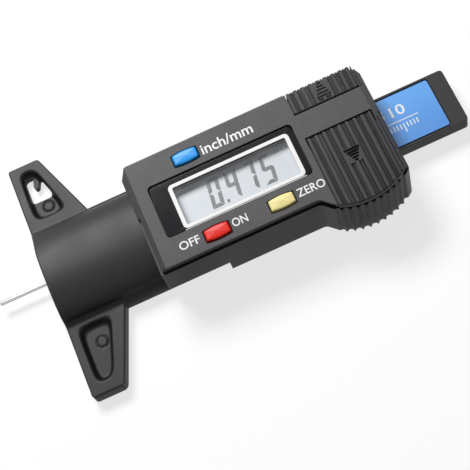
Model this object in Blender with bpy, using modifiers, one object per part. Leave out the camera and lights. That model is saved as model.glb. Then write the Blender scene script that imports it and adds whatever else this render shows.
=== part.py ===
# Digital depth gauge of the kind that reads tyre tread: a T-shaped base, a display
# module fixed to its neck, and a beam that slides through both and pushes a steel pin
# out of the measuring face.
# Units are metres and +Z is up. Below, X runs from the measuring face towards the free
# end of the beam, Y across the gauge and Z from its flat back to its display. The root
# empty moves all of it so that the origin is under the middle of the gauge.

import math

import bmesh
import bpy
from mathutils import Matrix, Vector

# Travel of the pin
STROKE = 0.0254
READING = 0.012065
STOP_GAP = 0.0006

# Clearances
FIT = 0.0003
SLIDE_FIT = 0.0004
BUTTON_FIT = 0.00015
SCREW_FIT = 0.0002
BEYOND = 0.002

# Outlines are filled at this enlargement, since the fill rounds off very small shapes
DRAWING_SCALE = 1000

# T-shaped base
WING_SPAN = 0.0600
WING_THICKNESS = 0.0034
WING_TIP_WIDTH = 0.0076
WING_ROOT_WIDTH = 0.0141
WING_CORNER = 0.0009
FOOT_WIDTH = 0.0255
DOME_WIDTH = 0.0233
DOME_HEIGHT = 0.0090
DOME_ROUNDNESS = 2.15
NECK_LENGTH = 0.0244
NOSE_WALL = 0.0030
NECK_WALL = 0.0018
TONGUE_LENGTH = 0.0144

# Pockets and hanging hole in the wings
POCKET_FLOOR = 0.0018
POCKET_CORNER = 0.0014
POCKET_FRONT_RIM = 0.0023
POCKET_TIP_WIDTH = 0.0036
UPPER_POCKET_WIDTH = 0.0073
LOWER_POCKET_WIDTH = 0.0078
UPPER_POCKET_RIMS = (0.00245, 0.0020)
LOWER_POCKET_RIMS = (0.00095, 0.0028)
EJECTOR_RADIUS = 0.0014
EJECTOR_HEIGHT = 0.0003
UPPER_MARK_SHARE = 0.23
LOWER_MARK_SHARE = 0.33
HOLE_RIM = 0.0010
HOLE_LENGTH = 0.0069
HOLE_WIDTH = 0.0060
HOLE_TOP_WIDTH = 0.0045
HOLE_CORNER = 0.0006
PRONG_WIDTH = 0.0011
PRONG_LENGTH = 0.0033
PRONG_SLANT = 0.0005
PRONG_CORNER = 0.0005

# Beam and pin
BEAM_WIDTH = 0.0141
BEAM_THICKNESS = 0.0035
BEAM_FLOOR = 0.0012
BEAM_END = 0.0998
BEAM_CORNER = 0.0008
HEAD_WIDTH = 0.0156
HEAD_LENGTH = 0.0040
PIN_RADIUS = 0.00055
PIN_HEIGHT = 0.0026
PIN_TIP = 0.0002
PIN_GRIP = 0.0042
LABEL_LENGTH = 0.0242
LABEL_WIDTH = 0.0124
LABEL_MARGIN = 0.0041
LABEL_THICKNESS = 0.00025
LABEL_SINK = 0.00005
LABEL_CORNER = 0.0005
STRIP_WIDTH = 0.0110
STRIP_START = 0.0030
STRIP_LABEL_GAP = 0.0016

# Display module
MODULE_LENGTH = 0.0577
CASE_LOW_SIDE = 0.01435
CASE_HIGH_SIDE = 0.0124
COVER_HEIGHT = 0.00295
CASE_WALL = 0.0015
CASE_FLOOR = 0.0048
END_BEVEL = 0.0017
END_BEVEL_DROP = 0.0024
TOP_BEVEL = 0.0006
CORNER_CUT = 0.0020
COVER_WALL = 0.0022
EDGE_LIP = 0.0005
EDGE_GROOVE = 0.0005
COVER_SIDE_WALL = 0.0009

# Thumb rest on the low side of the module
REST_CENTRE_MARGIN = 0.0105
REST_START_MARGIN = 0.0205
REST_SLOPE_LENGTH = 0.0034
REST_RADIUS = 0.0160
REST_REACH = 0.01895
REST_SLOPE_SHARE = 0.62
REST_END_ANGLE = math.radians(-50.0)
REST_CORNER_ANGLE = math.radians(-47.5)
RIB_PITCH = 0.00181
RIB_RADIUS = 0.00085
RIB_DEPTH = 0.00055
RIB_COUNT = 10
RIB_FIRST_ANGLE = math.radians(-117.0)

# Back plate and screws
PLATE_THICKNESS = 0.0009
PLATE_WIDTH = 0.0230
PLATE_START = 0.0020
PLATE_CORNER = 0.0015
SCREW_RADIUS = 0.0006
SCREW_HEAD_RADIUS = 0.0013
SCREW_HEAD_HEIGHT = 0.0006
SCREW_ROW = 0.00935
CASE_SCREW_LENGTH = 0.0095
PLATE_SCREW_LENGTH = 0.0030
FRONT_SCREW_MARGIN = 0.0056
REAR_SCREW_MARGIN = 0.0196
NOSE_SCREW_PLACE = 0.0070
END_SCREW_MARGIN = 0.0036
BOSS_RADIUS = 0.00115

# Display
WINDOW_MARGIN = 0.0045
WINDOW_END_MARGIN = 0.0189
WINDOW_LOW = -0.0082
WINDOW_HEIGHT = 0.0133
WINDOW_CORNER = 0.0010
LENS_THICKNESS = 0.0008
LENS_STEP = 0.0003
FRAME_MARGIN = 0.0042
FRAME_END_MARGIN = 0.0015
FRAME_LOW = -0.00745
FRAME_HEIGHT = 0.01135
FRAME_BAR = 0.0009
FRAME_THICKNESS = 0.0008
GLASS_OVERLAP = 0.0006
GLASS_THICKNESS = 0.0013
ZEBRA_WIDTH = 0.0014
ZEBRA_MARGIN = 0.0008

# Circuit board
BOARD_THICKNESS = 0.0012
BOARD_MARGIN = 0.0003
CHIP_RADIUS = 0.0035
CHIP_HEIGHT = 0.0012
CHIP_MARGIN = 0.0216
CHIP_Y = -0.0015

# Buttons
BUTTON_LENGTH = 0.0059
BUTTON_WIDTH = 0.0034
BUTTON_END_WIDTH = 0.0028
BUTTON_RISE = 0.0006
BUTTON_EDGE = 0.0002
BUTTON_TRAVEL = 0.0005
BUTTON_REST_GAP = 0.0001
FLANGE_RIM = 0.0005
FLANGE_WIDTH = 0.0022
FLANGE_THICKNESS = 0.0005
STEM_RADIUS = 0.0010
DOME_SWITCH_RADIUS = 0.0016
STEM_SHIFT = 0.0006
DOME_SWITCH_HEIGHT = 0.0005
DOME_SWITCH_SHEET = 0.00015
UNIT_BUTTON_SHARE = 0.261
UNIT_BUTTON_Y = 0.00815
POWER_BUTTON_SHARE = 0.257
POWER_BUTTON_Y = -0.01150
ZERO_BUTTON_MARGIN = 0.02775
ZERO_BUTTON_Y = -0.01140

# Battery bay and its cover
CELL_RADIUS = 0.0058
CELL_HEIGHT = 0.0054
CELL_STAND = 0.0016
CELL_MARGIN = 0.0097
CELL_Y = -0.0075
CELL_RIM = 0.0006
WELL_WALL = 0.0010
BATTERY_COVER_MARGIN = 0.0172
BATTERY_COVER_WIDTH = 0.0151
BATTERY_COVER_TOP = -0.0001
COVER_THICKNESS = 0.0012
COVER_TONGUE = 0.0006
COVER_TONGUE_THICKNESS = 0.0005
GRIP_PITCH = 0.00180
GRIP_THIN_RIB = 0.0003
GRIP_GROOVE = 0.0003
GRIP_DEPTH = 0.0004
GRIP_COUNT = 8
ARROW_LENGTH = 0.0031
ARROW_PLACE = -0.0063
CONTACT_WIDTH = 0.0030
CONTACT_SHEET = 0.0003

# Data port and its cover
PORT_COVER_MARGIN = 0.0170
PORT_COVER_WIDTH = 0.0150
PORT_COVER_LENGTH = 0.0059
PORT_COVER_SKIRT = 0.0022
PORT_COVER_BEVEL = 0.0008
PORT_COVER_EDGE = 0.0009
PORT_WIDTH = 0.0090
PORT_HEIGHT = 0.0030
PORT_MARGIN = 0.0095
PORT_Y = 0.0086
PAD_SIZE = 0.0012
PAD_PITCH = 0.0022
PAD_COUNT = 4

# Leaf spring that keeps the beam against its guide
LEAF_MARGIN = 0.0196
LEAF_LENGTH = 0.0150
LEAF_HEIGHT = 0.0026
LEAF_SHEET = 0.0002
LEAF_POCKET = 0.0013

# Heights that follow from the sizes above
LEDGE_HEIGHT = WING_THICKNESS + FIT
BEAM_TOP = BEAM_FLOOR + BEAM_THICKNESS
BOARD_UNDERSIDE = BEAM_TOP + SLIDE_FIT
BOARD_TOP = BOARD_UNDERSIDE + BOARD_THICKNESS
CELL_UNDERSIDE = BOARD_TOP + CELL_STAND
CELL_TOP = CELL_UNDERSIDE + CELL_HEIGHT
COVER_SEAT = CELL_TOP
COVER_LOW = COVER_SEAT + FIT
TONGUE_SLOT_TOP = COVER_LOW + COVER_TONGUE_THICKNESS + FIT
MODULE_HEIGHT = COVER_LOW + COVER_THICKNESS
CASE_HEIGHT = MODULE_HEIGHT - COVER_HEIGHT
COVER_UNDERSIDE = MODULE_HEIGHT - COVER_WALL
GLASS_TOP = COVER_UNDERSIDE - FIT
GLASS_UNDERSIDE = GLASS_TOP - GLASS_THICKNESS
PLATE_SEAT = PLATE_THICKNESS + FIT

# Places that follow from the sizes above
MODULE_START = NECK_LENGTH
MODULE_END = MODULE_START + MODULE_LENGTH
STEP_PLACE = NECK_LENGTH + TONGUE_LENGTH
REST_CENTRE = MODULE_END - REST_CENTRE_MARGIN
REST_START = MODULE_END - REST_START_MARGIN
REST_SLOPE_END = REST_START + REST_SLOPE_LENGTH
CASE_SCREW_PLACES = (MODULE_START + FRONT_SCREW_MARGIN, MODULE_END - REAR_SCREW_MARGIN)
PLATE_SCREW_PLACES = (NOSE_SCREW_PLACE, MODULE_END - END_SCREW_MARGIN)
WINDOW_START = MODULE_START + WINDOW_MARGIN
WINDOW_END = MODULE_END - WINDOW_END_MARGIN
FRAME_START = WINDOW_START + FRAME_MARGIN
FRAME_END = WINDOW_END - FRAME_END_MARGIN
CHIP_PLACE = (MODULE_START + CHIP_MARGIN, CHIP_Y)
UNIT_BUTTON = (MODULE_START + UNIT_BUTTON_SHARE * MODULE_LENGTH, UNIT_BUTTON_Y)
POWER_BUTTON = (MODULE_START + POWER_BUTTON_SHARE * MODULE_LENGTH, POWER_BUTTON_Y)
ZERO_BUTTON = (MODULE_END - ZERO_BUTTON_MARGIN, ZERO_BUTTON_Y)
CELL_PLACE = (MODULE_END - CELL_MARGIN, CELL_Y)
BATTERY_COVER_START = MODULE_END - BATTERY_COVER_MARGIN
PORT_COVER_START = MODULE_END - PORT_COVER_MARGIN
PORT_PLACE = (MODULE_END - PORT_MARGIN, PORT_Y)
LEAF_START = MODULE_START + LEAF_MARGIN
BEAM_FRONT = NOSE_WALL + STROKE - READING + STOP_GAP
RECESS_DEPTH = FIT + LABEL_THICKNESS + LABEL_SINK
CHANNEL_WIDTH = BEAM_WIDTH + 2 * SLIDE_FIT
WIDE_CHANNEL = HEAD_WIDTH + 2 * SLIDE_FIT
WIDE_CHANNEL_END = BEAM_FRONT + HEAD_LENGTH + READING + FIT
MIDDLE = (BEAM_END - READING) / 2

MARKER_SIZE = 0.005
TINT_BLACK = (0.035, 0.035, 0.038)


def clear_scene():
    for item in list(bpy.data.objects):
        bpy.data.objects.remove(item, do_unlink=True)


def new_collection(name):
    collection = bpy.data.collections.new(name)
    bpy.context.scene.collection.children.link(collection)
    return collection


def new_material(name, colour, roughness, metallic=0.0):
    material = bpy.data.materials.new(name)
    material.use_nodes = True
    shader = material.node_tree.nodes["Principled BSDF"]
    shader.inputs["Base Color"].default_value = (*colour, 1.0)
    shader.inputs["Roughness"].default_value = roughness
    shader.inputs["Metallic"].default_value = metallic
    return material


def empty(name, place, parent=None):
    item = bpy.data.objects.new(name, None)
    item.empty_display_size = MARKER_SIZE
    item.location = place
    item.parent = parent
    PARTS.objects.link(item)
    return item


def weld(mesh):
    body = bmesh.new()
    body.from_mesh(mesh)
    bmesh.ops.remove_doubles(body, verts=body.verts, dist=0.000001)
    bmesh.ops.recalc_face_normals(body, faces=body.faces)
    body.to_mesh(mesh)
    body.free()


def guide(name, mesh, matrix=None):
    """Object that shapes another and isn't a part itself"""
    item = bpy.data.objects.new(name, mesh)
    if matrix is not None:
        item.matrix_world = matrix
    item.parent = ROOT
    item.hide_render = True
    item.display_type = "WIRE"
    CUTTERS.objects.link(item)
    return item


AXIS_TURNS = {
    "X": Matrix(((0, 0, 1), (1, 0, 0), (0, 1, 0))).to_4x4(),
    "Y": Matrix(((1, 0, 0), (0, 0, -1), (0, 1, 0))).to_4x4(),
    "Z": Matrix.Identity(4),
}


def prism(name, outlines, low, high, axis="Z"):
    """Extruded outlines; the first is the outside and the others are holes.

    Along Z an outline holds (x, y), along X (y, z) and along Y (x, z).
    """
    curve = bpy.data.curves.new(name, "CURVE")
    curve.dimensions = "2D"
    curve.fill_mode = "BOTH"
    curve.extrude = (high - low) / 2 * DRAWING_SCALE
    for outline in outlines:
        spline = curve.splines.new("POLY")
        spline.points.add(len(outline) - 1)
        for point, place in zip(spline.points, outline):
            point.co = (place[0] * DRAWING_SCALE, place[1] * DRAWING_SCALE, 0, 1)
        spline.use_cyclic_u = True
    drawn = guide(name, curve)
    middle = {"X": 0, "Y": 1, "Z": 2}[axis]
    shift = Vector((0, 0, 0))
    shift[middle] = (low + high) / 2
    drawn.matrix_world = Matrix.Translation(shift) @ AXIS_TURNS[axis]
    bpy.context.view_layer.update()
    mesh = bpy.data.meshes.new_from_object(drawn.evaluated_get(bpy.context.evaluated_depsgraph_get()))
    mesh.transform(Matrix.Scale(1 / DRAWING_SCALE, 4))
    weld(mesh)
    item = guide(name, mesh, drawn.matrix_world.copy())
    bpy.data.objects.remove(drawn, do_unlink=True)
    bpy.data.curves.remove(curve)
    item.name = name
    return item


def box(name, x, y, z):
    """Box between the two values of each pair"""
    body = bmesh.new()
    bmesh.ops.create_cube(body, size=1)
    size = Matrix.Diagonal((x[1] - x[0], y[1] - y[0], z[1] - z[0], 1))
    centre = Vector(((x[0] + x[1]) / 2, (y[0] + y[1]) / 2, (z[0] + z[1]) / 2))
    bmesh.ops.transform(body, matrix=size, verts=body.verts)
    mesh = bpy.data.meshes.new(name)
    body.to_mesh(mesh)
    body.free()
    return guide(name, mesh, Matrix.Translation(centre))


def cylinder(name, place, radius, low, high, sides=20, axis="Z", top_radius=None):
    """Cylinder or cone; place holds the two coordinates across its axis, as in prism"""
    body = bmesh.new()
    end_radius = radius if top_radius is None else top_radius
    bmesh.ops.create_cone(
        body, cap_ends=True, segments=sides, radius1=radius, radius2=end_radius, depth=high - low)
    mesh = bpy.data.meshes.new(name)
    body.to_mesh(mesh)
    body.free()
    centre = AXIS_TURNS[axis] @ Vector((place[0], place[1], 0))
    centre["XYZ".index(axis)] = (low + high) / 2
    return guide(name, mesh, Matrix.Translation(centre) @ AXIS_TURNS[axis])


def turned(name, profile, sides=20):
    """Profile of (radius, height) pairs, top to bottom, turned about Z"""
    mesh = bpy.data.meshes.new(name)
    points = [(radius, 0, height) for radius, height in profile]
    mesh.from_pydata(points, [(i, i + 1) for i in range(len(points) - 1)], [])
    item = guide(name, mesh)
    screw = item.modifiers.new("turn", "SCREW")
    screw.steps = sides
    screw.render_steps = sides
    screw.use_merge_vertices = True
    screw.merge_threshold = 0.000001
    return item


def combine(item, others, operation="DIFFERENCE"):
    for other in others:
        step = item.modifiers.new(other.name, "BOOLEAN")
        step.operation = operation
        step.solver = "EXACT"
        step.object = other
    return item


def soften(item, width, angle=30):
    bevel = item.modifiers.new("edge", "BEVEL")
    bevel.width = width
    bevel.segments = 2
    bevel.limit_method = "ANGLE"
    bevel.angle_limit = math.radians(angle)
    return item


def finish(item, name, colour, roughness, metallic=0.0, parent=None):
    """Turns a guide into a named part with its own material, carried by the root or an axis"""
    CUTTERS.objects.unlink(item)
    PARTS.objects.link(item)
    item.name = name
    item.data.name = name
    item.hide_render = False
    item.display_type = "TEXTURED"
    item.data.materials.clear()
    item.data.materials.append(new_material(name, colour, roughness, metallic))
    item.data.shade_smooth()
    item.data.set_sharp_from_angle(angle=math.radians(32))
    if parent is not None:
        bpy.context.view_layer.update()
        place = item.matrix_world.copy()
        item.parent = parent
        item.matrix_world = place
    return item


def rounded(corners, steps=4):
    """Closed outline through (x, y, radius) corners, each radius drawn as an arc"""
    outline = []
    for i, (x, y, radius) in enumerate(corners):
        corner = Vector((x, y))
        if radius == 0:
            outline.append(corner)
            continue
        before = (Vector(corners[i - 1][:2]) - corner).normalized()
        after = (Vector(corners[(i + 1) % len(corners)][:2]) - corner).normalized()
        half = before.angle(after) / 2
        centre = corner + (before + after).normalized() * radius / math.sin(half)
        start = corner + before * radius / math.tan(half) - centre
        end = corner + after * radius / math.tan(half) - centre
        turn = math.atan2(start.x * end.y - start.y * end.x, start.dot(end))
        for k in range(steps + 1):
            angle = turn * k / steps
            cos, sin = math.cos(angle), math.sin(angle)
            outline.append(centre + Vector((start.x * cos - start.y * sin, start.x * sin + start.y * cos)))
    return outline


def rectangle(x, y, radius=0.0, steps=4):
    places = ((x[0], y[0]), (x[1], y[0]), (x[1], y[1]), (x[0], y[1]))
    return rounded([(*place, radius) for place in places], steps)


def span(start, length):
    return (start, start + length)


def about(centre, width):
    return (centre - width / 2, centre + width / 2)


def arch(half_width, foot, top, steps=9):
    """Section of the neck: straight sides up to the foot, then a rounded crown"""
    outline = [Vector((half_width, -BEYOND)), Vector((half_width, foot))]
    for k in range(1, 2 * steps):
        angle = math.pi * k / (2 * steps)
        across = math.copysign(abs(math.cos(angle)) ** (2 / DOME_ROUNDNESS), math.cos(angle))
        rise = math.sin(angle) ** (2 / DOME_ROUNDNESS)
        outline.append(Vector((half_width * across, foot + (top - foot) * rise)))
    outline += [Vector((-half_width, foot)), Vector((-half_width, -BEYOND))]
    return outline


def base_outline():
    tip, root, half = WING_TIP_WIDTH, WING_ROOT_WIDTH, WING_SPAN / 2
    foot = FOOT_WIDTH / 2
    end = STEP_PLACE - FIT
    upper = [(0, half, WING_CORNER), (tip, half, WING_CORNER), (root, foot, FIT), (end, foot, FIT)]
    lower = [(x, -y, radius) for x, y, radius in reversed(upper)]
    return rounded(list(reversed(upper)) + list(reversed(lower)))


def pocket_span(rims):
    """Start and end of a pocket between the neck's foot and the wing's tip"""
    return FOOT_WIDTH / 2 + rims[0], WING_SPAN / 2 - rims[1]


def pocket_outline(side, rims, width):
    front = POCKET_FRONT_RIM
    start, end = pocket_span(rims)
    corners = [
        (front, side * start, POCKET_CORNER),
        (front + width, side * start, POCKET_CORNER),
        (front + POCKET_TIP_WIDTH, side * end, POCKET_CORNER),
        (front, side * end, POCKET_CORNER),
    ]
    return rounded(corners)


def hanging_hole_outline():
    """Key-shaped hole: a wide mouth with a slanted prong that hangs into it from the tip side"""
    left, high = POCKET_FRONT_RIM, pocket_span(UPPER_POCKET_RIMS)[1] - HOLE_RIM
    right, low = left + HOLE_WIDTH, high - HOLE_LENGTH
    prong = left + (HOLE_TOP_WIDTH - PRONG_WIDTH) / 2 + HOLE_CORNER
    shoulder = high - 1.5 * HOLE_CORNER
    corners = [
        (left, low, HOLE_CORNER),
        (right, low, HOLE_CORNER),
        (left + HOLE_TOP_WIDTH, shoulder, HOLE_CORNER / 2),
        (prong + PRONG_WIDTH, shoulder, 0),
        (prong + PRONG_WIDTH - PRONG_SLANT, high - PRONG_LENGTH, PRONG_CORNER),
        (prong - PRONG_SLANT, high - PRONG_LENGTH, PRONG_CORNER),
        (prong, high, 0),
        (left, high, HOLE_CORNER),
    ]
    return rounded(corners)


def ejector_mark(name, side, rims, width, share):
    start, end = pocket_span(rims)
    place = (POCKET_FRONT_RIM + width / 2, side * (start + (end - start) * share))
    return cylinder(name, place, EJECTOR_RADIUS, POCKET_FLOOR - EJECTOR_HEIGHT, POCKET_FLOOR + BEYOND, 16)


def screw_places(places):
    return [(x, side * SCREW_ROW) for x in places for side in (1, -1)]


def screw_holes(name, places, low, high):
    radius = SCREW_RADIUS + SCREW_FIT
    return [
        cylinder(f"{name}_{i}", place, radius, low, high, 12)
        for i, place in enumerate(screw_places(places))
    ]


def plate_recess(name, start, end):
    half = PLATE_WIDTH / 2 + FIT
    return box(name, (start, end), (-half, half), (-BEYOND, PLATE_SEAT))


def base_frame():
    """Wings, neck and the tongue that reaches under the module, in one moulding"""
    frame = prism("base", [base_outline()], 0, WING_THICKNESS)
    crown = arch(DOME_WIDTH / 2, WING_THICKNESS, DOME_HEIGHT)
    crown = [Vector((point.x, max(point.y, 0))) for point in crown]
    dome = prism("dome", [crown], 0, NECK_LENGTH - FIT, "X")
    combine(frame, [dome], "UNION")
    hollow_half = WIDE_CHANNEL / 2
    hollow = arch(hollow_half, BEAM_TOP + FIT, DOME_HEIGHT - NECK_WALL)
    cuts = [
        prism("neck_hollow", [hollow], NOSE_WALL, STEP_PLACE + BEYOND, "X"),
        plate_recess("base_plate_recess", PLATE_START - FIT, STEP_PLACE + BEYOND),
        cylinder("pin_hole", (0, PIN_HEIGHT), PIN_RADIUS + FIT, -BEYOND, NOSE_WALL + BEYOND, 20, "X"),
    ]
    for name, side, rims, width, share in (
            ("upper", 1, UPPER_POCKET_RIMS, UPPER_POCKET_WIDTH, UPPER_MARK_SHARE),
            ("lower", -1, LOWER_POCKET_RIMS, LOWER_POCKET_WIDTH, LOWER_MARK_SHARE)):
        pocket = [pocket_outline(side, rims, width)]
        cuts.append(prism(f"{name}_pocket", pocket, POCKET_FLOOR, WING_THICKNESS + BEYOND))
        cuts.append(ejector_mark(f"{name}_ejector_mark", side, rims, width, share))
    cuts.append(prism("hanging_hole", [hanging_hole_outline()], -BEYOND, WING_THICKNESS + BEYOND))
    cuts += screw_holes("tongue_screw_hole", CASE_SCREW_PLACES[:1], -BEYOND, WING_THICKNESS + BEYOND)
    cuts += screw_holes("nose_screw_hole", PLATE_SCREW_PLACES[:1], -BEYOND, PLATE_SCREW_LENGTH + FIT)
    combine(frame, cuts)
    return finish(frame, "base_frame", TINT_BLACK, 0.45)


def screws(name, places, length):
    """Countersunk screws with their heads in the back plate"""
    profile = [
        (0, length), (SCREW_RADIUS, length), (SCREW_RADIUS, SCREW_HEAD_HEIGHT),
        (SCREW_HEAD_RADIUS, 0), (0, 0),
    ]
    for i, place in enumerate(screw_places(places), 1):
        screw = turned(f"{name}_{i}", profile, 12)
        screw.location = (*place, 0)
        finish(screw, f"{name}_{i}", (0.6, 0.6, 0.6), 0.35, 1.0)


def back_plate():
    """Flat plate that closes the beam's channel and ties the base to the module"""
    end = MODULE_END - CASE_WALL
    outline = rectangle((PLATE_START, end), about(0, PLATE_WIDTH), PLATE_CORNER)
    plate = prism("plate", [outline], 0, PLATE_THICKNESS)
    cuts = []
    for i, place in enumerate(screw_places(CASE_SCREW_PLACES + PLATE_SCREW_PLACES)):
        wide = SCREW_HEAD_RADIUS + SCREW_FIT
        narrow = SCREW_RADIUS + SCREW_FIT
        cuts.append(cylinder(f"sink_{i}", place, narrow, -BEYOND, PLATE_THICKNESS + BEYOND, 12))
        slope = (wide - narrow) / SCREW_HEAD_HEIGHT
        cuts.append(cylinder(
            f"sink_cone_{i}", place, wide + slope * FIT, -FIT, SCREW_HEAD_HEIGHT, 12, "Z", narrow))
    combine(plate, cuts)
    return finish(plate, "back_plate", TINT_BLACK, 0.5)


def rest_angle(x):
    return -math.acos((x - REST_CENTRE) / REST_RADIUS)


def module_outline(inset=0.0):
    """Plan of the module: cut corners, a step and a thumb rest that bulges on the low side"""
    left, right = MODULE_START + inset, MODULE_END - inset
    low, high = -CASE_LOW_SIDE + inset, CASE_HIGH_SIDE - inset
    cut = CORNER_CUT - inset * (2 - math.sqrt(2))
    radius = REST_RADIUS - inset
    centre_y = REST_RADIUS - REST_REACH
    slope = REST_SLOPE_LENGTH
    outline = rounded([
        (right, high - cut, 0),
        (right - cut, high, 0),
        (left + cut, high, 0),
        (left, high - cut, 0),
        (left, low, FIT),
        (REST_START + inset, low, slope / 2),
        (REST_START + inset + slope * REST_SLOPE_SHARE, low - slope * REST_SLOPE_SHARE, 0),
    ])
    first = rest_angle(REST_SLOPE_END)
    steps = 14
    for k in range(steps + 1):
        angle = first + (REST_END_ANGLE - first) * k / steps
        outline.append(Vector((REST_CENTRE + radius * math.cos(angle), centre_y + radius * math.sin(angle))))
    outline.append(Vector((right, centre_y + radius * math.sin(REST_CORNER_ANGLE))))
    return outline


def inner_outline(gap):
    """Plan of the room inside the case, with its own corners and a bay in the thumb rest"""
    left, right = MODULE_START + gap, MODULE_END - gap
    low, high = -CASE_LOW_SIDE + gap, CASE_HIGH_SIDE - gap
    reach = -REST_REACH + gap + EDGE_GROOVE
    corners = [
        (right, high - CORNER_CUT, 0), (right - CORNER_CUT, high, 0),
        (left + CORNER_CUT, high, 0), (left, high - CORNER_CUT, 0), (left, low, 0),
        (REST_START + gap, low, 0), (REST_SLOPE_END + gap, reach + gap, 0),
        (REST_CENTRE, reach, 0), (right - 2 * CORNER_CUT, low - CORNER_CUT, 0),
        (right, low + CORNER_CUT, 0),
    ]
    return rounded(corners)


def rib_cutters():
    cutters = []
    centre_y = REST_RADIUS - REST_REACH
    distance = REST_RADIUS + RIB_RADIUS - RIB_DEPTH
    for i in range(RIB_COUNT):
        angle = RIB_FIRST_ANGLE + i * RIB_PITCH / REST_RADIUS
        place = (REST_CENTRE + distance * math.cos(angle), centre_y + distance * math.sin(angle))
        cutters.append(cylinder(f"rib_{i}", place, RIB_RADIUS, -BEYOND, CASE_HEIGHT + BEYOND, 16))
    return cutters


def rear_case():
    """Lower shell of the module, with the beam's channel and the ribbed thumb rest"""
    case = prism("case", [module_outline()], 0, CASE_HEIGHT)
    room = inner_outline(CASE_WALL)
    low_half, wide_half = CHANNEL_WIDTH / 2, WIDE_CHANNEL / 2
    channel_top = BOARD_UNDERSIDE
    before, after = MODULE_START - BEYOND, MODULE_END + BEYOND
    deep = CASE_LOW_SIDE + BEYOND
    leaf_wall = low_half + LEAF_POCKET
    cuts = [
        prism("case_room", [room], CASE_FLOOR, CASE_HEIGHT + BEYOND),
        box("ledge_cut", (before, STEP_PLACE), (-deep, deep), (-BEYOND, LEDGE_HEIGHT)),
        box("beam_channel", (before, after), (-low_half, low_half), (-2 * BEYOND, channel_top)),
        box("wide_channel", (before, WIDE_CHANNEL_END), (-wide_half, wide_half), (-3 * BEYOND, channel_top)),
        plate_recess("case_plate_recess", STEP_PLACE - BEYOND, MODULE_END - CASE_WALL + FIT),
        box("leaf_pocket", span(LEAF_START - FIT, LEAF_LENGTH + 2 * FIT), (0, leaf_wall),
            (PLATE_THICKNESS, channel_top + BEYOND / 4)),
    ]
    cuts += rib_cutters()
    cuts += screw_holes("case_screw_hole", CASE_SCREW_PLACES, -BEYOND, CASE_FLOOR + BEYOND)
    cuts += screw_holes("end_screw_hole", PLATE_SCREW_PLACES[1:], -BEYOND, PLATE_SCREW_LENGTH + FIT)
    combine(case, cuts)
    return finish(case, "rear_case", TINT_BLACK, 0.5)


def cover_profile():
    """Side view of the front cover: both ends slope away from the display face"""
    low, drop = CASE_HEIGHT + FIT, MODULE_HEIGHT - END_BEVEL_DROP
    left, right = MODULE_START, MODULE_END
    return [
        Vector((left, low - BEYOND)), Vector((right, low - BEYOND)), Vector((right, drop)),
        Vector((right - END_BEVEL, MODULE_HEIGHT)), Vector((left + END_BEVEL, MODULE_HEIGHT)),
        Vector((left, drop)),
    ]


def cover_section():
    """End view of the front cover: small bevel on the high side, groove along the low side"""
    low, top = CASE_HEIGHT + FIT, MODULE_HEIGHT
    wall, reach = CASE_HIGH_SIDE, -REST_REACH - BEYOND
    return [
        Vector((reach, low)), Vector((wall, low)), Vector((wall, top - TOP_BEVEL)),
        Vector((wall - TOP_BEVEL, top)), Vector((reach, top)),
    ]


def edge_groove():
    """Groove under the face's low edge, along the side and round the thumb rest"""
    far = REST_REACH + 2 * BEYOND
    start, end = MODULE_START - BEYOND, MODULE_END + BEYOND
    outside = [Vector((start, -far)), Vector((end, -far)), Vector((end, 0)), Vector((start, 0))]
    low, high = CASE_HEIGHT - BEYOND, MODULE_HEIGHT - EDGE_LIP
    groove = prism("edge_groove", [outside], low, high)
    keep = prism("edge_keep", [module_outline(EDGE_GROOVE)], low - BEYOND, high + BEYOND)
    return combine(groove, [keep])


def button_outline(place, grow=0.0):
    """Barrel: long edges that bow outwards between narrower ends"""
    x, y = place
    half, narrow = BUTTON_LENGTH / 2 + grow, BUTTON_END_WIDTH / 2 + grow
    wide = BUTTON_WIDTH / 2 + grow
    steps = 6
    bow = [(-half + 2 * half * k / steps) for k in range(steps + 1)]
    lower = [Vector((x + t, y - narrow - (wide - narrow) * (1 - (t / half) ** 2))) for t in bow]
    upper = [Vector((x - t, y + narrow + (wide - narrow) * (1 - (t / half) ** 2))) for t in bow]
    return lower + upper


def grip_grooves(name, start, width, low, high, gaps):
    """Pairs of narrow grooves with a thin rib between them; gaps are skipped stretches"""
    cutters = []
    first = start + (width - GRIP_COUNT * GRIP_PITCH) / 2 + GRIP_PITCH / 2
    for i in range(GRIP_COUNT):
        for side in (-1, 1):
            centre = first + i * GRIP_PITCH + side * (GRIP_THIN_RIB + GRIP_GROOVE) / 2
            for k, (begin, end) in enumerate(gaps(centre, low, high)):
                cutters.append(box(
                    f"{name}_{i}_{side}_{k}", about(centre, GRIP_GROOVE), (begin, end),
                    (MODULE_HEIGHT - GRIP_DEPTH, MODULE_HEIGHT + BEYOND)))
    return cutters


def battery_bay_cuts():
    """Seat, side slots and cell opening for the battery cover"""
    start, end = BATTERY_COVER_START - FIT, BATTERY_COVER_START + BATTERY_COVER_WIDTH + FIT
    low, high = -REST_REACH - 3 * BEYOND, BATTERY_COVER_TOP + FIT
    wide = (start - COVER_TONGUE, end + COVER_TONGUE)
    return [
        box("battery_seat", (start, end), (low, high), (COVER_SEAT, MODULE_HEIGHT + BEYOND)),
        box("battery_slots", wide, (low - BEYOND, high - BEYOND), (COVER_SEAT, TONGUE_SLOT_TOP)),
        cylinder("cell_opening", CELL_PLACE, CELL_RADIUS + FIT, CELL_UNDERSIDE - 2 * BEYOND,
                 MODULE_HEIGHT + 2 * BEYOND, 32),
    ]


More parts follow.
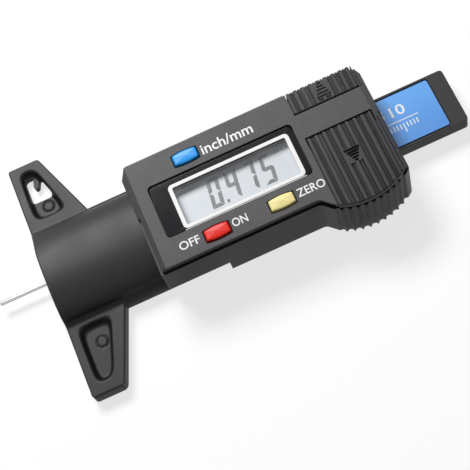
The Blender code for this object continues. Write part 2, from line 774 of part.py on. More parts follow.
def port_bay_cuts():
    """Seat for the data port's cover, open at the high side, and the port's opening"""
    start, end = PORT_COVER_START - FIT, PORT_COVER_START + PORT_COVER_WIDTH + FIT
    low = CASE_HIGH_SIDE - PORT_COVER_LENGTH - FIT
    inner = CASE_HIGH_SIDE - PORT_COVER_EDGE - FIT
    wide = (start - COVER_TONGUE, end + COVER_TONGUE)
    far = CASE_HIGH_SIDE + BEYOND
    port_x, port_y = PORT_PLACE
    return [
        box("port_seat", (start, end), (low, far), (COVER_SEAT, MODULE_HEIGHT + BEYOND)),
        box("port_slots", wide, (low + FIT, far + BEYOND), (COVER_SEAT, TONGUE_SLOT_TOP)),
        box("port_edge", (start, end), (inner, far + 2 * BEYOND), (CASE_HEIGHT - BEYOND, MODULE_HEIGHT)),
        box("port_opening", about(port_x, PORT_WIDTH), about(port_y, PORT_HEIGHT),
            (CASE_HEIGHT - BEYOND, MODULE_HEIGHT + BEYOND)),
    ]


def front_cover():
    """Upper shell of the module: display face, button holes, battery well and port"""
    low = CASE_HEIGHT + FIT
    far = (-REST_REACH - 2 * BEYOND, CASE_HIGH_SIDE + 2 * BEYOND)
    cover = prism("cover", [module_outline()], low, MODULE_HEIGHT)
    ends = prism("cover_ends", [cover_profile()], far[0], far[1], "Y")
    section = prism("cover_section", [cover_section()], MODULE_START - BEYOND, MODULE_END + BEYOND, "X")
    combine(cover, [ends, section], "INTERSECT")
    combine(cover, [edge_groove()])
    room = inner_outline(EDGE_GROOVE + COVER_SIDE_WALL)
    combine(cover, [prism("cover_room", [room], low - BEYOND, COVER_UNDERSIDE)])
    well = cylinder("battery_well", CELL_PLACE, CELL_RADIUS + FIT + WELL_WALL, CELL_UNDERSIDE - FIT,
                    COVER_UNDERSIDE + FIT, 32)
    bosses = [
        cylinder(f"boss_{i}", place, BOSS_RADIUS, BOARD_TOP + FIT, COVER_UNDERSIDE + FIT, 16)
        for i, place in enumerate(screw_places(CASE_SCREW_PLACES))
    ]
    combine(cover, [well] + bosses, "UNION")
    window_x, window_y = (WINDOW_START, WINDOW_END), span(WINDOW_LOW, WINDOW_HEIGHT)
    lens_seat = MODULE_HEIGHT - LENS_STEP - LENS_THICKNESS - FIT
    opening_x = (FRAME_START - FIT, FRAME_END + FIT)
    opening_y = (FRAME_LOW - FIT, FRAME_LOW + FRAME_HEIGHT + FIT)
    cuts = [
        prism("window_recess", [rectangle(window_x, window_y, WINDOW_CORNER)], lens_seat,
              MODULE_HEIGHT + BEYOND),
        prism("display_opening", [rectangle(opening_x, opening_y, WINDOW_CORNER)], low - BEYOND,
              MODULE_HEIGHT + 2 * BEYOND),
    ]
    for name, place in (("unit", UNIT_BUTTON), ("power", POWER_BUTTON), ("zero", ZERO_BUTTON)):
        hole = [button_outline(place, BUTTON_FIT)]
        cuts.append(prism(f"{name}_hole", hole, low - BEYOND, MODULE_HEIGHT + BEYOND))
    cuts += battery_bay_cuts() + port_bay_cuts()
    cell_x, cell_y = CELL_PLACE
    cuts.append(box(
        "contact_slot", about(cell_x, CONTACT_WIDTH + 2 * FIT), (cell_y, cell_y + 2 * CELL_RADIUS),
        (CELL_UNDERSIDE - BEYOND, COVER_UNDERSIDE - FIT)))
    cuts += screw_holes("boss_hole", CASE_SCREW_PLACES, low - 4 * BEYOND, CASE_SCREW_LENGTH + FIT)
    combine(cover, cuts)
    return finish(cover, "front_cover", (0.05, 0.05, 0.053), 0.5)


def window_lens():
    y = span(WINDOW_LOW, WINDOW_HEIGHT)
    x = (WINDOW_START + FIT, WINDOW_END - FIT)
    y = (y[0] + FIT, y[1] - FIT)
    top = MODULE_HEIGHT - LENS_STEP
    lens = prism("lens", [rectangle(x, y, WINDOW_CORNER - FIT)], top - LENS_THICKNESS, top)
    return finish(lens, "window_lens", (0.01, 0.01, 0.012), 0.08)


def display_frame():
    """Pale frame round the view of the display"""
    x, y = (FRAME_START, FRAME_END), span(FRAME_LOW, FRAME_HEIGHT)
    outside = rectangle(x, y, WINDOW_CORNER)
    inside_x = (x[0] + FRAME_BAR, x[1] - FRAME_BAR)
    inside_y = (y[0] + FRAME_BAR, y[1] - FRAME_BAR)
    inside = rectangle(inside_x, inside_y, WINDOW_CORNER / 2)
    low = GLASS_TOP + FIT
    frame = prism("frame", [outside, inside], low, low + FRAME_THICKNESS)
    return finish(frame, "display_frame", (0.85, 0.85, 0.85), 0.4)


def glass_span():
    x = (FRAME_START - GLASS_OVERLAP, FRAME_END + GLASS_OVERLAP)
    y = (FRAME_LOW - GLASS_OVERLAP, FRAME_LOW + FRAME_HEIGHT + GLASS_OVERLAP)
    return x, y


def lcd_glass():
    x, y = glass_span()
    glass = box("glass", x, y, (GLASS_UNDERSIDE, GLASS_TOP))
    return finish(glass, "lcd_glass", (0.55, 0.6, 0.6), 0.2)


def zebra_strips():
    """Rubber strips that carry the display's signals down to the board"""
    x, y = glass_span()
    x = (x[0] + ZEBRA_MARGIN, x[1] - ZEBRA_MARGIN)
    z = (BOARD_TOP + FIT, GLASS_UNDERSIDE - FIT)
    upper = box("upper_strip", x, (y[1] - FIT - ZEBRA_WIDTH, y[1] - FIT), z)
    lower = box("lower_strip", x, (y[0] + FIT, y[0] + FIT + ZEBRA_WIDTH), z)
    finish(upper, "zebra_strip_upper", (0.8, 0.45, 0.5), 0.6)
    finish(lower, "zebra_strip_lower", (0.8, 0.45, 0.5), 0.6)


def main_board():
    board = prism("board", [inner_outline(CASE_WALL + BOARD_MARGIN)], BOARD_UNDERSIDE, BOARD_TOP)
    combine(board, screw_holes("board_hole", CASE_SCREW_PLACES, BOARD_UNDERSIDE - BEYOND, BOARD_TOP + BEYOND))
    return finish(board, "main_board", (0.02, 0.2, 0.08), 0.45)


def chip_cap():
    """Blob of resin over the chip"""
    profile = [(0, CHIP_HEIGHT)]
    steps = 5
    for k in range(1, steps + 1):
        angle = math.pi / 2 * k / steps
        profile.append((CHIP_RADIUS * math.sin(angle), CHIP_HEIGHT * math.cos(angle)))
    profile.append((0, 0))
    cap = turned("cap", profile, 20)
    cap.location = (*CHIP_PLACE, BOARD_TOP + FIT)
    bpy.context.view_layer.update()
    return finish(cap, "chip_cap", (0.02, 0.02, 0.02), 0.3)


def stem_place(place):
    """The stem stands a little nearer the gauge's middle than the cap"""
    return (place[0], place[1] - math.copysign(STEM_SHIFT, place[1]))


def button(name, place, colour):
    """Barrel cap, a flange under the cover and a stem down to the switch"""
    axis = empty(f"{name}_axis", (*place, MODULE_HEIGHT), ROOT)
    flange_top = COVER_UNDERSIDE - FIT
    flange_low = flange_top - FLANGE_THICKNESS
    cap = prism(name, [button_outline(place)], COVER_UNDERSIDE, MODULE_HEIGHT + BUTTON_RISE)
    soften(cap, BUTTON_EDGE, 60)
    x = about(place[0], BUTTON_LENGTH + 2 * FLANGE_RIM)
    y = about(place[1], FLANGE_WIDTH)
    flange = box(f"{name}_flange", x, y, (flange_low, flange_top))
    switch_top = BOARD_TOP + FIT + DOME_SWITCH_HEIGHT + DOME_SWITCH_SHEET
    stem_low = switch_top + BUTTON_REST_GAP + BUTTON_TRAVEL
    stem = cylinder(f"{name}_stem", stem_place(place), STEM_RADIUS, stem_low, COVER_UNDERSIDE + FIT, 14)
    combine(cap, [flange, stem], "UNION")
    return finish(cap, name, colour, 0.35, 0.0, axis)


def dome_switch(name, place):
    """Thin snap dome under a button's stem"""
    steps = 4
    inside = DOME_SWITCH_RADIUS - DOME_SWITCH_SHEET / 2
    bow = [(k / steps, DOME_SWITCH_HEIGHT * (1 - (k / steps) ** 2)) for k in range(steps + 1)]
    profile = [(DOME_SWITCH_RADIUS * part, height + DOME_SWITCH_SHEET) for part, height in bow]
    profile += [(inside * part, height) for part, height in reversed(bow)]
    dome = turned(name, profile, 16)
    dome.location = (*stem_place(place), BOARD_TOP + FIT)
    bpy.context.view_layer.update()
    return finish(dome, name, (0.75, 0.75, 0.72), 0.25, 1.0)


def battery_cell():
    """Button cell: a wide can with a narrower cap below it"""
    low, top = CELL_UNDERSIDE, CELL_TOP
    rim = CELL_RADIUS - CELL_RIM
    profile = [
        (0, top), (CELL_RADIUS - FIT / 2, top), (CELL_RADIUS, top - FIT / 2),
        (CELL_RADIUS, low + 2 * CELL_RIM), (rim, low + CELL_RIM), (rim, low), (0, low),
    ]
    cell = turned("cell", profile, 32)
    cell.location = (*CELL_PLACE, 0)
    bpy.context.view_layer.update()
    return finish(cell, "battery_cell", (0.75, 0.75, 0.76), 0.25, 1.0)


def bent_strip(name, path, width, centre_y):
    """Sheet-metal strip: a side view of constant thickness along (x, z) points"""
    half = CONTACT_SHEET / 2
    points = [Vector(place) for place in path]
    sides = ([], [])
    for i, point in enumerate(points):
        before = (point - points[max(i, 1) - 1]).normalized()
        after = (points[min(i, len(points) - 2) + 1] - point).normalized()
        along = (before + after).normalized()
        reach = half / max(along.dot(before), along.dot(after))
        normal = Vector((-along.y, along.x))
        sides[0].append(point + normal * reach)
        sides[1].append(point - normal * reach)
    return prism(name, [sides[0] + list(reversed(sides[1]))], *about(centre_y, width), "Y")


def battery_contacts():
    """Spring under the cell and a side contact that reaches up through the well's slot"""
    x, y = CELL_PLACE
    seat = BOARD_TOP + FIT + CONTACT_SHEET / 2
    touch = CELL_UNDERSIDE - FIT - CONTACT_SHEET / 2
    rim = CELL_RADIUS - CELL_RIM
    under = [(x - rim / 2, seat), (x - rim / 4, seat), (x + rim / 4, touch), (x + rim / 2, touch)]
    negative = bent_strip("negative", under, CONTACT_WIDTH, y)
    finish(negative, "battery_contact_negative", (0.78, 0.78, 0.76), 0.3, 1.0)
    side = y + CELL_RADIUS + FIT + CONTACT_SHEET / 2
    top = CELL_TOP - 2 * FIT - COVER_WALL
    outside = side + 2 * CONTACT_SHEET + WELL_WALL
    half = CONTACT_SHEET / 2
    outline = [
        Vector((outside, seat - half)), Vector((side - half, seat - half)), Vector((side - half, top)),
        Vector((side + half, top)), Vector((side + half, seat + half)), Vector((outside, seat + half)),
    ]
    positive = prism("positive", [outline], *about(x, CONTACT_WIDTH), "X")
    finish(positive, "battery_contact_positive", (0.78, 0.78, 0.76), 0.3, 1.0)


def battery_cover():
    """Sliding cover whose free end follows the thumb rest; it slides off at the low side"""
    x = span(BATTERY_COVER_START, BATTERY_COVER_WIDTH)
    axis = empty("battery_cover_axis", (CELL_PLACE[0], 0, MODULE_HEIGHT), ROOT)
    far = -REST_REACH - BEYOND
    plate = box("battery_plate", x, (far, BATTERY_COVER_TOP), (COVER_LOW, MODULE_HEIGHT))
    tongue_x = (x[0] - COVER_TONGUE, x[1] + COVER_TONGUE)
    tongue_y = (far - BEYOND, BATTERY_COVER_TOP - BEYOND - 2 * FIT)
    tongues = box("battery_tongues", tongue_x, tongue_y, (COVER_LOW, COVER_LOW + COVER_TONGUE_THICKNESS))
    combine(plate, [tongues], "UNION")
    edge = prism("battery_edge", [module_outline()], COVER_LOW - BEYOND, MODULE_HEIGHT + BEYOND)
    combine(plate, [edge], "INTERSECT")
    arrow = (ARROW_PLACE - ARROW_LENGTH - FIT, ARROW_PLACE + FIT)
    middle = x[0] + BATTERY_COVER_WIDTH / 2

    def gaps(centre, start, end):
        if abs(centre - middle) < GRIP_PITCH:
            return [(start, arrow[0]), (arrow[1], end)]
        return [(start, end)]

    end = BATTERY_COVER_TOP + BEYOND
    combine(plate, grip_grooves("battery_grip", x[0], BATTERY_COVER_WIDTH, far - 2 * BEYOND, end, gaps))
    return finish(plate, "battery_cover", TINT_BLACK, 0.5, 0.0, axis)


def port_edge_cut():
    """Wedge that bevels the port cover's outer top edge"""
    wall, top = CASE_HIGH_SIDE, MODULE_HEIGHT
    section = [
        Vector((wall + BEYOND, top - PORT_COVER_BEVEL - BEYOND)), Vector((wall + BEYOND, top + BEYOND)),
        Vector((wall - PORT_COVER_BEVEL - BEYOND, top + BEYOND)),
    ]
    return prism("port_bevel", [section], PORT_COVER_START - BEYOND, MODULE_END, "X")


def port_cover():
    """Small ribbed cover that wraps over the high edge and slides off there"""
    x = span(PORT_COVER_START, PORT_COVER_WIDTH)
    axis = empty("port_cover_axis", (PORT_PLACE[0], CASE_HIGH_SIDE, MODULE_HEIGHT), ROOT)
    y = (CASE_HIGH_SIDE - PORT_COVER_LENGTH, CASE_HIGH_SIDE)
    plate = box("port_plate", x, y, (COVER_LOW, MODULE_HEIGHT))
    edge_y = (CASE_HIGH_SIDE - PORT_COVER_EDGE, CASE_HIGH_SIDE)
    edge = box("port_skirt", x, edge_y, (MODULE_HEIGHT - PORT_COVER_SKIRT, COVER_LOW + FIT))
    tongue_x = (x[0] - COVER_TONGUE, x[1] + COVER_TONGUE)
    tongue_y = (y[0] + 2 * FIT, y[1] - CORNER_CUT)
    tongues = box("port_tongues", tongue_x, tongue_y, (COVER_LOW, COVER_LOW + COVER_TONGUE_THICKNESS))
    combine(plate, [edge, tongues], "UNION")
    combine(plate, [port_edge_cut()])

    def gaps(centre, start, end):
        return [(start, end)]

    combine(plate, grip_grooves("port_grip", x[0], PORT_COVER_WIDTH, y[0] - BEYOND, y[1] + BEYOND, gaps))
    return finish(plate, "port_cover", TINT_BLACK, 0.5, 0.0, axis)


def port_pads():
    """Contacts of the data port, in a row on the board"""
    x, y = PORT_PLACE
    low = BOARD_TOP + FIT
    for i in range(PAD_COUNT):
        centre = x + (i - (PAD_COUNT - 1) / 2) * PAD_PITCH
        pad = box(f"pad_{i}", about(centre, PAD_SIZE), about(y, 2 * PAD_SIZE), (low, low + CONTACT_SHEET))
        finish(pad, f"port_pad_{i + 1}", (0.85, 0.62, 0.2), 0.3, 1.0)


def beam(carrier):
    """Plastic beam with a wide head, a socket for the pin, and seats for strip and label"""
    half, head = BEAM_WIDTH / 2, HEAD_WIDTH / 2
    front, neck = BEAM_FRONT, BEAM_FRONT + HEAD_LENGTH
    outline = rounded([
        (front, -head, BEAM_CORNER), (neck, -head, 0), (neck, -half, 0), (BEAM_END, -half, BEAM_CORNER),
        (BEAM_END, half, BEAM_CORNER), (neck, half, 0), (neck, head, 0), (front, head, BEAM_CORNER),
    ])
    body = prism("beam_body", [outline], BEAM_FLOOR, BEAM_TOP)
    floor = BEAM_TOP - RECESS_DEPTH
    label_x, label_y = label_span(FIT)
    strip_x, strip_y = strip_span(FIT)
    cuts = [
        cylinder("pin_socket", (0, PIN_HEIGHT), PIN_RADIUS + FIT, front - BEYOND, front + PIN_GRIP + FIT,
                 16, "X"),
        prism("label_seat", [rectangle(label_x, label_y, LABEL_CORNER + FIT)], floor, BEAM_TOP + BEYOND),
        box("strip_seat", strip_x, strip_y, (floor, BEAM_TOP + BEYOND)),
    ]
    combine(body, cuts)
    return finish(body, "beam", TINT_BLACK, 0.4, 0.0, carrier)


def label_span(grow=0.0):
    end = BEAM_END - LABEL_MARGIN
    return (end - LABEL_LENGTH - grow, end + grow), about(0, LABEL_WIDTH + 2 * grow)


def strip_span(grow=0.0):
    start = BEAM_FRONT + STRIP_START
    end = label_span()[0][0] - STRIP_LABEL_GAP
    return (start - grow, end + grow), about(0, STRIP_WIDTH + 2 * grow)


def scale_strip(carrier):
    x, y = strip_span()
    low = BEAM_TOP - RECESS_DEPTH + FIT
    strip = box("strip", x, y, (low, low + LABEL_THICKNESS))
    return finish(strip, "scale_strip", (0.55, 0.35, 0.1), 0.4, 0.0, carrier)


def beam_label(carrier):
    x, y = label_span()
    low = BEAM_TOP - RECESS_DEPTH + FIT
    label = prism("label", [rectangle(x, y, LABEL_CORNER)], low, low + LABEL_THICKNESS)
    return finish(label, "beam_label", (0.07, 0.32, 0.82), 0.35, 0.0, carrier)


def measuring_pin(carrier):
    """Steel pin, turned about its own axis and laid along the beam"""
    tip, end = -READING, BEAM_FRONT + PIN_GRIP
    length = end - tip
    profile = [
        (0, length), (PIN_RADIUS - PIN_TIP, length), (PIN_RADIUS, length - PIN_TIP),
        (PIN_RADIUS, 0), (0, 0),
    ]
    pin = turned("pin", profile, 16)
    pin.location = (end, 0, PIN_HEIGHT)
    pin.rotation_euler = (0, -math.pi / 2, 0)
    bpy.context.view_layer.update()
    return finish(pin, "measuring_pin", (0.72, 0.72, 0.73), 0.2, 1.0, carrier)


def leaf_spring():
    """Bowed strip in its pocket beside the beam"""
    wall = CHANNEL_WIDTH / 2 + LEAF_POCKET
    steps = 10
    outer, inner = [], []
    for k in range(steps + 1):
        part = k / steps
        x = LEAF_START + LEAF_LENGTH * part
        bow = math.sin(math.pi * part) * (LEAF_POCKET - FIT - LEAF_SHEET)
        y = wall - FIT - bow
        outer.append(Vector((x, y)))
        inner.append(Vector((x, y - LEAF_SHEET)))
    low = BEAM_FLOOR + (BEAM_THICKNESS - LEAF_HEIGHT) / 2
    leaf = prism("leaf", [outer + list(reversed(inner))], low, low + LEAF_HEIGHT)
    return finish(leaf, "leaf_spring", (0.7, 0.5, 0.3), 0.3, 1.0)


clear_scene()
PARTS = new_collection("digital_depth_gauge")
CUTTERS = new_collection("cutters")
ROOT = empty("gauge", (0, 0, 0))

base_frame()
back_plate()
screws("case_screw", CASE_SCREW_PLACES, CASE_SCREW_LENGTH)
screws("plate_screw", PLATE_SCREW_PLACES, PLATE_SCREW_LENGTH)
rear_case()
front_cover()
window_lens()
display_frame()
lcd_glass()
zebra_strips()
main_board()
chip_cap()
button("unit_button", UNIT_BUTTON, (0.03, 0.3, 0.75))
button("power_button", POWER_BUTTON, (0.8, 0.05, 0.03))
button("zero_button", ZERO_BUTTON, (0.95, 0.85, 0.4))
dome_switch("unit_dome", UNIT_BUTTON)
dome_switch("power_dome", POWER_BUTTON)
dome_switch("zero_dome", ZERO_BUTTON)
battery_cell()
battery_contacts()
battery_cover()
port_cover()
port_pads()
leaf_spring()
SLIDE = empty("measuring_slide_axis", (0, 0, PIN_HEIGHT), ROOT)
beam(SLIDE)
scale_strip(SLIDE)
beam_label(SLIDE)
measuring_pin(SLIDE)
ROOT.location.x = -MIDDLE
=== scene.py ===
"""Looks of the digital depth gauge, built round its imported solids.

Lengths in the functions below are millimetres on the gauge: x from the measuring face
towards the beam's free end, y across the gauge, z up from its flat back.
"""
import math

import bmesh
import bpy
import numpy as np
from mathutils import Matrix, Vector

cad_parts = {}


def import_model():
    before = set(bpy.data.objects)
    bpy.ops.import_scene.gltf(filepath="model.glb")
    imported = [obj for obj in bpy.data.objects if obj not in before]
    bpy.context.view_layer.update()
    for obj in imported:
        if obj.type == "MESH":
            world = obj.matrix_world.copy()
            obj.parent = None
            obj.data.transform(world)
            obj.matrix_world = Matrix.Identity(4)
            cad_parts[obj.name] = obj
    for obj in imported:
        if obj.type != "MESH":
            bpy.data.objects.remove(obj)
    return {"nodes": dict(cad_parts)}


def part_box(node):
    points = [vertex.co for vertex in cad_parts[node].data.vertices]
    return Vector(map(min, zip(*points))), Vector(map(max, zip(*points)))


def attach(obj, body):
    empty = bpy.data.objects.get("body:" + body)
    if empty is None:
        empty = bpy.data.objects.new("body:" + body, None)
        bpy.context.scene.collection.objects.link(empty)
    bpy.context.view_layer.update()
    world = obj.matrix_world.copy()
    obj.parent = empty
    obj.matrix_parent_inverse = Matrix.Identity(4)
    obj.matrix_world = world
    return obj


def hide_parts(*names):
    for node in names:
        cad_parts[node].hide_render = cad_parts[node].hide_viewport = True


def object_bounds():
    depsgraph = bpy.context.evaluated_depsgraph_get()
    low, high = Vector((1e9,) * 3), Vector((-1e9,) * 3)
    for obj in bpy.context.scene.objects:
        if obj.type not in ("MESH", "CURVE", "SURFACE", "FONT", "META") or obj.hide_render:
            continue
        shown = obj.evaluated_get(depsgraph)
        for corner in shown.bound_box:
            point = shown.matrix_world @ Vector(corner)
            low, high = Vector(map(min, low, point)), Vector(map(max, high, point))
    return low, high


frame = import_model()
CAD_BOX = [list(corner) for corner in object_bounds()]

MM = 0.001
FACE_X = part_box("base_frame")[0].x

# Camera of the photograph
PHOTO_WIDTH = 470
FOCAL_PIXELS = 1343.68
SENSOR = 36.0
TILT = math.radians(24.498)
PAN = math.radians(0.151)
ROLL = math.radians(24.373)
DISTANCE = 300.64
AIM = (42.286, -7.114)

# Heights on the gauge
PLATE_TOP = 3.4
FACE_TOP = 14.8
GLASS_TOP = 12.3
COVER_UNDERSIDE = 12.6
DOOR_SEAT = 13.6
LABEL_TOP = 4.65

# Corners closer than this are merged
WELD = 0.002
# Edges of a solid that bend by more degrees than this are rounded
BEND = 30.0
# Vertex attribute that says how far down a groove a point lies; the door material paints shade by it
GROOVE_MARK = "sunk"


# Meshes

def placed(points):
    """Gauge millimetres to the row's metres"""
    return np.asarray(points, float).reshape(-1, 3) * MM + np.array([FACE_X, 0.0, 0.0])


def new_piece(name, points, faces):
    """Object from gauge points and lists of corner numbers"""
    mesh = bpy.data.meshes.new(name)
    mesh.from_pydata(placed(points).tolist(), [], [list(face) for face in faces])
    return new_object(name, mesh)


def new_object(name, mesh):
    """Object for a mesh, lamp or other data, linked into the scene"""
    item = bpy.data.objects.new(name, mesh)
    bpy.context.scene.collection.objects.link(item)
    return item


def marked(item, values):
    """Stores one number per vertex for the materials"""
    stored = item.data.attributes.new(GROOVE_MARK, "FLOAT", "POINT")
    stored.data.foreach_set("value", np.asarray(values, float).ravel())
    return item


def grid(rows, columns, first=0):
    """Quads of a grid of rows by columns points, as an array of corner numbers"""
    index = first + np.arange(rows * columns).reshape(rows, columns)
    corners = (index[:-1, :-1], index[:-1, 1:], index[1:, 1:], index[1:, :-1])
    return np.stack([c.ravel() for c in corners], axis=1)


def tidy(item, sharp=35.0):
    """Merges doubles, points the faces outwards and smooths all but sharp edges"""
    body = bmesh.new()
    body.from_mesh(item.data)
    bmesh.ops.remove_doubles(body, verts=body.verts, dist=WELD * MM)
    bmesh.ops.dissolve_degenerate(body, edges=body.edges, dist=WELD * MM / 4)
    bmesh.ops.recalc_face_normals(body, faces=body.faces)
    body.to_mesh(item.data)
    body.free()
    item.data.shade_smooth()
    item.data.set_sharp_from_angle(angle=math.radians(sharp))
    return item


def applied(item):
    """Same object with its modifiers made part of its mesh"""
    bpy.context.view_layer.update()
    graph = bpy.context.evaluated_depsgraph_get()
    mesh = bpy.data.meshes.new_from_object(item.evaluated_get(graph))
    item.modifiers.clear()
    item.data = mesh
    return item


def cut(item, cutters):
    """Subtracts closed meshes from a piece"""
    for cutter in cutters:
        step = item.modifiers.new("cut", "BOOLEAN")
        step.operation = "DIFFERENCE"
        step.solver = "EXACT"
        step.object = cutter
    applied(item)
    for cutter in cutters:
        bpy.data.objects.remove(cutter, do_unlink=True)
    return item


def rounded(corners, steps=6):
    """Closed outline through (x, y, radius) corners, each radius drawn as an arc"""
    outline = []
    for i, (x, y, radius) in enumerate(corners):
        corner = np.array([x, y], float)
        before = np.array(corners[i - 1][:2], float) - corner
        after = np.array(corners[(i + 1) % len(corners)][:2], float) - corner
        before /= np.linalg.norm(before)
        after /= np.linalg.norm(after)
        if radius == 0:
            outline.append(corner)
            continue
        half = math.acos(np.clip(before @ after, -1, 1)) / 2
        middle = (before + after) / np.linalg.norm(before + after)
        centre = corner + middle * radius / math.sin(half)
        start = corner + before * radius / math.tan(half) - centre
        end = corner + after * radius / math.tan(half) - centre
        turn = math.atan2(start[0] * end[1] - start[1] * end[0], start @ end)
        angles = turn * np.linspace(0, 1, steps + 1)
        arc = np.stack([
            start[0] * np.cos(angles) - start[1] * np.sin(angles),
            start[0] * np.sin(angles) + start[1] * np.cos(angles)], axis=1)
        outline.extend(centre + arc)
    return np.array(outline)


def inset(outline, distance):
    """Outline moved inwards along its mitred corner normals"""
    points = np.asarray(outline, float)
    ahead = np.roll(points, -1, axis=0) - points
    ahead /= np.linalg.norm(ahead, axis=1)[:, None]
    behind = np.roll(ahead, 1, axis=0)
    normal = np.stack([-(ahead + behind)[:, 1], (ahead + behind)[:, 0]], axis=1)
    normal /= np.linalg.norm(normal, axis=1)[:, None]
    edge_normal = np.stack([-ahead[:, 1], ahead[:, 0]], axis=1)
    reach = np.clip((normal * edge_normal).sum(1), 0.5, 1.0)
    return points + normal * (distance / reach)[:, None]


def loft(name, rings, caps=True):
    """Closed rings of equal length joined in order; caps close both ends, or the last meets the first"""
    rings = np.asarray(rings, float)
    count, length = rings.shape[:2]
    index = np.arange(count * length).reshape(count, length)
    lower = index[:-1] if caps else index
    upper = index[1:] if caps else np.roll(index, -1, axis=0)
    sides = np.stack([
        lower, np.roll(lower, -1, axis=1), np.roll(upper, -1, axis=1), upper], axis=-1).reshape(-1, 4)
    faces = sides.tolist()
    if caps:
        faces += [index[0][::-1].tolist(), index[-1].tolist()]
    return new_piece(name, rings, faces)


def flat_ring(outline, height):
    """Outline as points at one height"""
    return np.column_stack([outline, np.full(len(outline), height)])


def slab(name, outline, low, high):
    """Outline given height"""
    return loft(name, [flat_ring(outline, low), flat_ring(outline, high)])


def rounded_ring(outline, high, edge, angle):
    """Ring at an angle round the quarter circle between a wall and its top; a negative edge grows outwards"""
    return flat_ring(inset(outline, edge * (1 - math.cos(angle))), high - abs(edge) * (1 - math.sin(angle)))


def soft_slab(name, outline, low, high, edge):
    """Outline given height, its top edge rounded by a quarter circle"""
    angles = np.radians(np.linspace(0, 90, 5))
    rings = [flat_ring(outline, low)]
    rings += [rounded_ring(outline, high, edge, angle) for angle in angles]
    return weighted(tidy(loft(name, rings)))


def soft_ring(name, outside, inside, low, high, edge):
    """Band between two outlines of equal length with its upper edges rounded"""
    angles = np.radians(np.linspace(0, 90, 4))
    rings = [flat_ring(outside, low)]
    rings += [rounded_ring(outside, high, edge, angle) for angle in angles]
    rings += [rounded_ring(inside, high, -edge, angle) for angle in angles[::-1]]
    rings.append(flat_ring(inside, low))
    return weighted(tidy(loft(name, rings, caps=False)))


def rectangle(x, y, radius=0.0):
    """Outline from spans in x and y, its corners rounded"""
    corners = [(x[0], y[0]), (x[1], y[0]), (x[1], y[1]), (x[0], y[1])]
    return rounded([(*corner, radius) for corner in corners])


def disc(place, radius):
    """Outline of a circle with 20 corners"""
    angles = np.linspace(0, 2 * math.pi, 20, endpoint=False)
    return np.column_stack([place[0] + radius * np.cos(angles), place[1] + radius * np.sin(angles)])


def block(name, x, y, z):
    """Box from its three spans"""
    return slab(name, rectangle(x, y), *z)


def merged(name, items):
    """One piece made of several meshes, each kept as it is"""
    body = bmesh.new()
    for item in items:
        body.from_mesh(item.data)
        bpy.data.objects.remove(item, do_unlink=True)
    mesh = bpy.data.meshes.new(name)
    body.to_mesh(mesh)
    body.free()
    return new_object(name, mesh)


def weighted(item):
    """Corner normals that follow the large faces, so that only the rounded edges look curved"""
    step = item.modifiers.new("normals", "WEIGHTED_NORMAL")
    step.keep_sharp = True
    return applied(item)


def moulded(node, width, segments):
    """Copy of a CAD solid: triangles merged into flat faces, edges rounded to width"""
    item = new_object(f"{node}_moulding", frame["nodes"][node].data.copy())
    item.data.materials.clear()
    body = bmesh.new()
    body.from_mesh(item.data)
    bmesh.ops.remove_doubles(body, verts=body.verts, dist=0.001 * MM)
    bmesh.ops.dissolve_limit(
        body, angle_limit=math.radians(0.5), verts=body.verts, edges=body.edges)
    bmesh.ops.recalc_face_normals(body, faces=body.faces)
    sharp = [
        edge for edge in body.edges
        if len(edge.link_faces) == 2 and edge.calc_face_angle(0) > math.radians(BEND)]
    bmesh.ops.bevel(
        body, geom=sharp, offset=width * MM, offset_type="OFFSET", segments=segments, profile=0.5,
        affect="EDGES", clamp_overlap=True, harden_normals=False)
    body.to_mesh(item.data)
    body.free()
    item.data.shade_smooth()
    item.data.set_sharp_from_angle(angle=math.radians(40))
    return weighted(item)


# Materials

class Wire:
    """A node's output: arithmetic on it adds Math nodes to its material"""

    def __init__(self, paint, socket):
        self.paint, self.socket = paint, socket

    def __add__(self, other):
        return self.paint.maths("ADD", self, other)

    def __radd__(self, other):
        return self.paint.maths("ADD", other, self)

    def __sub__(self, other):
        return self.paint.maths("SUBTRACT", self, other)

    def __mul__(self, other):
        return self.paint.maths("MULTIPLY", self, other)

    def __gt__(self, other):
        return self.paint.maths("GREATER_THAN", self, other)

    def __lt__(self, other):
        return self.paint.maths("LESS_THAN", self, other)


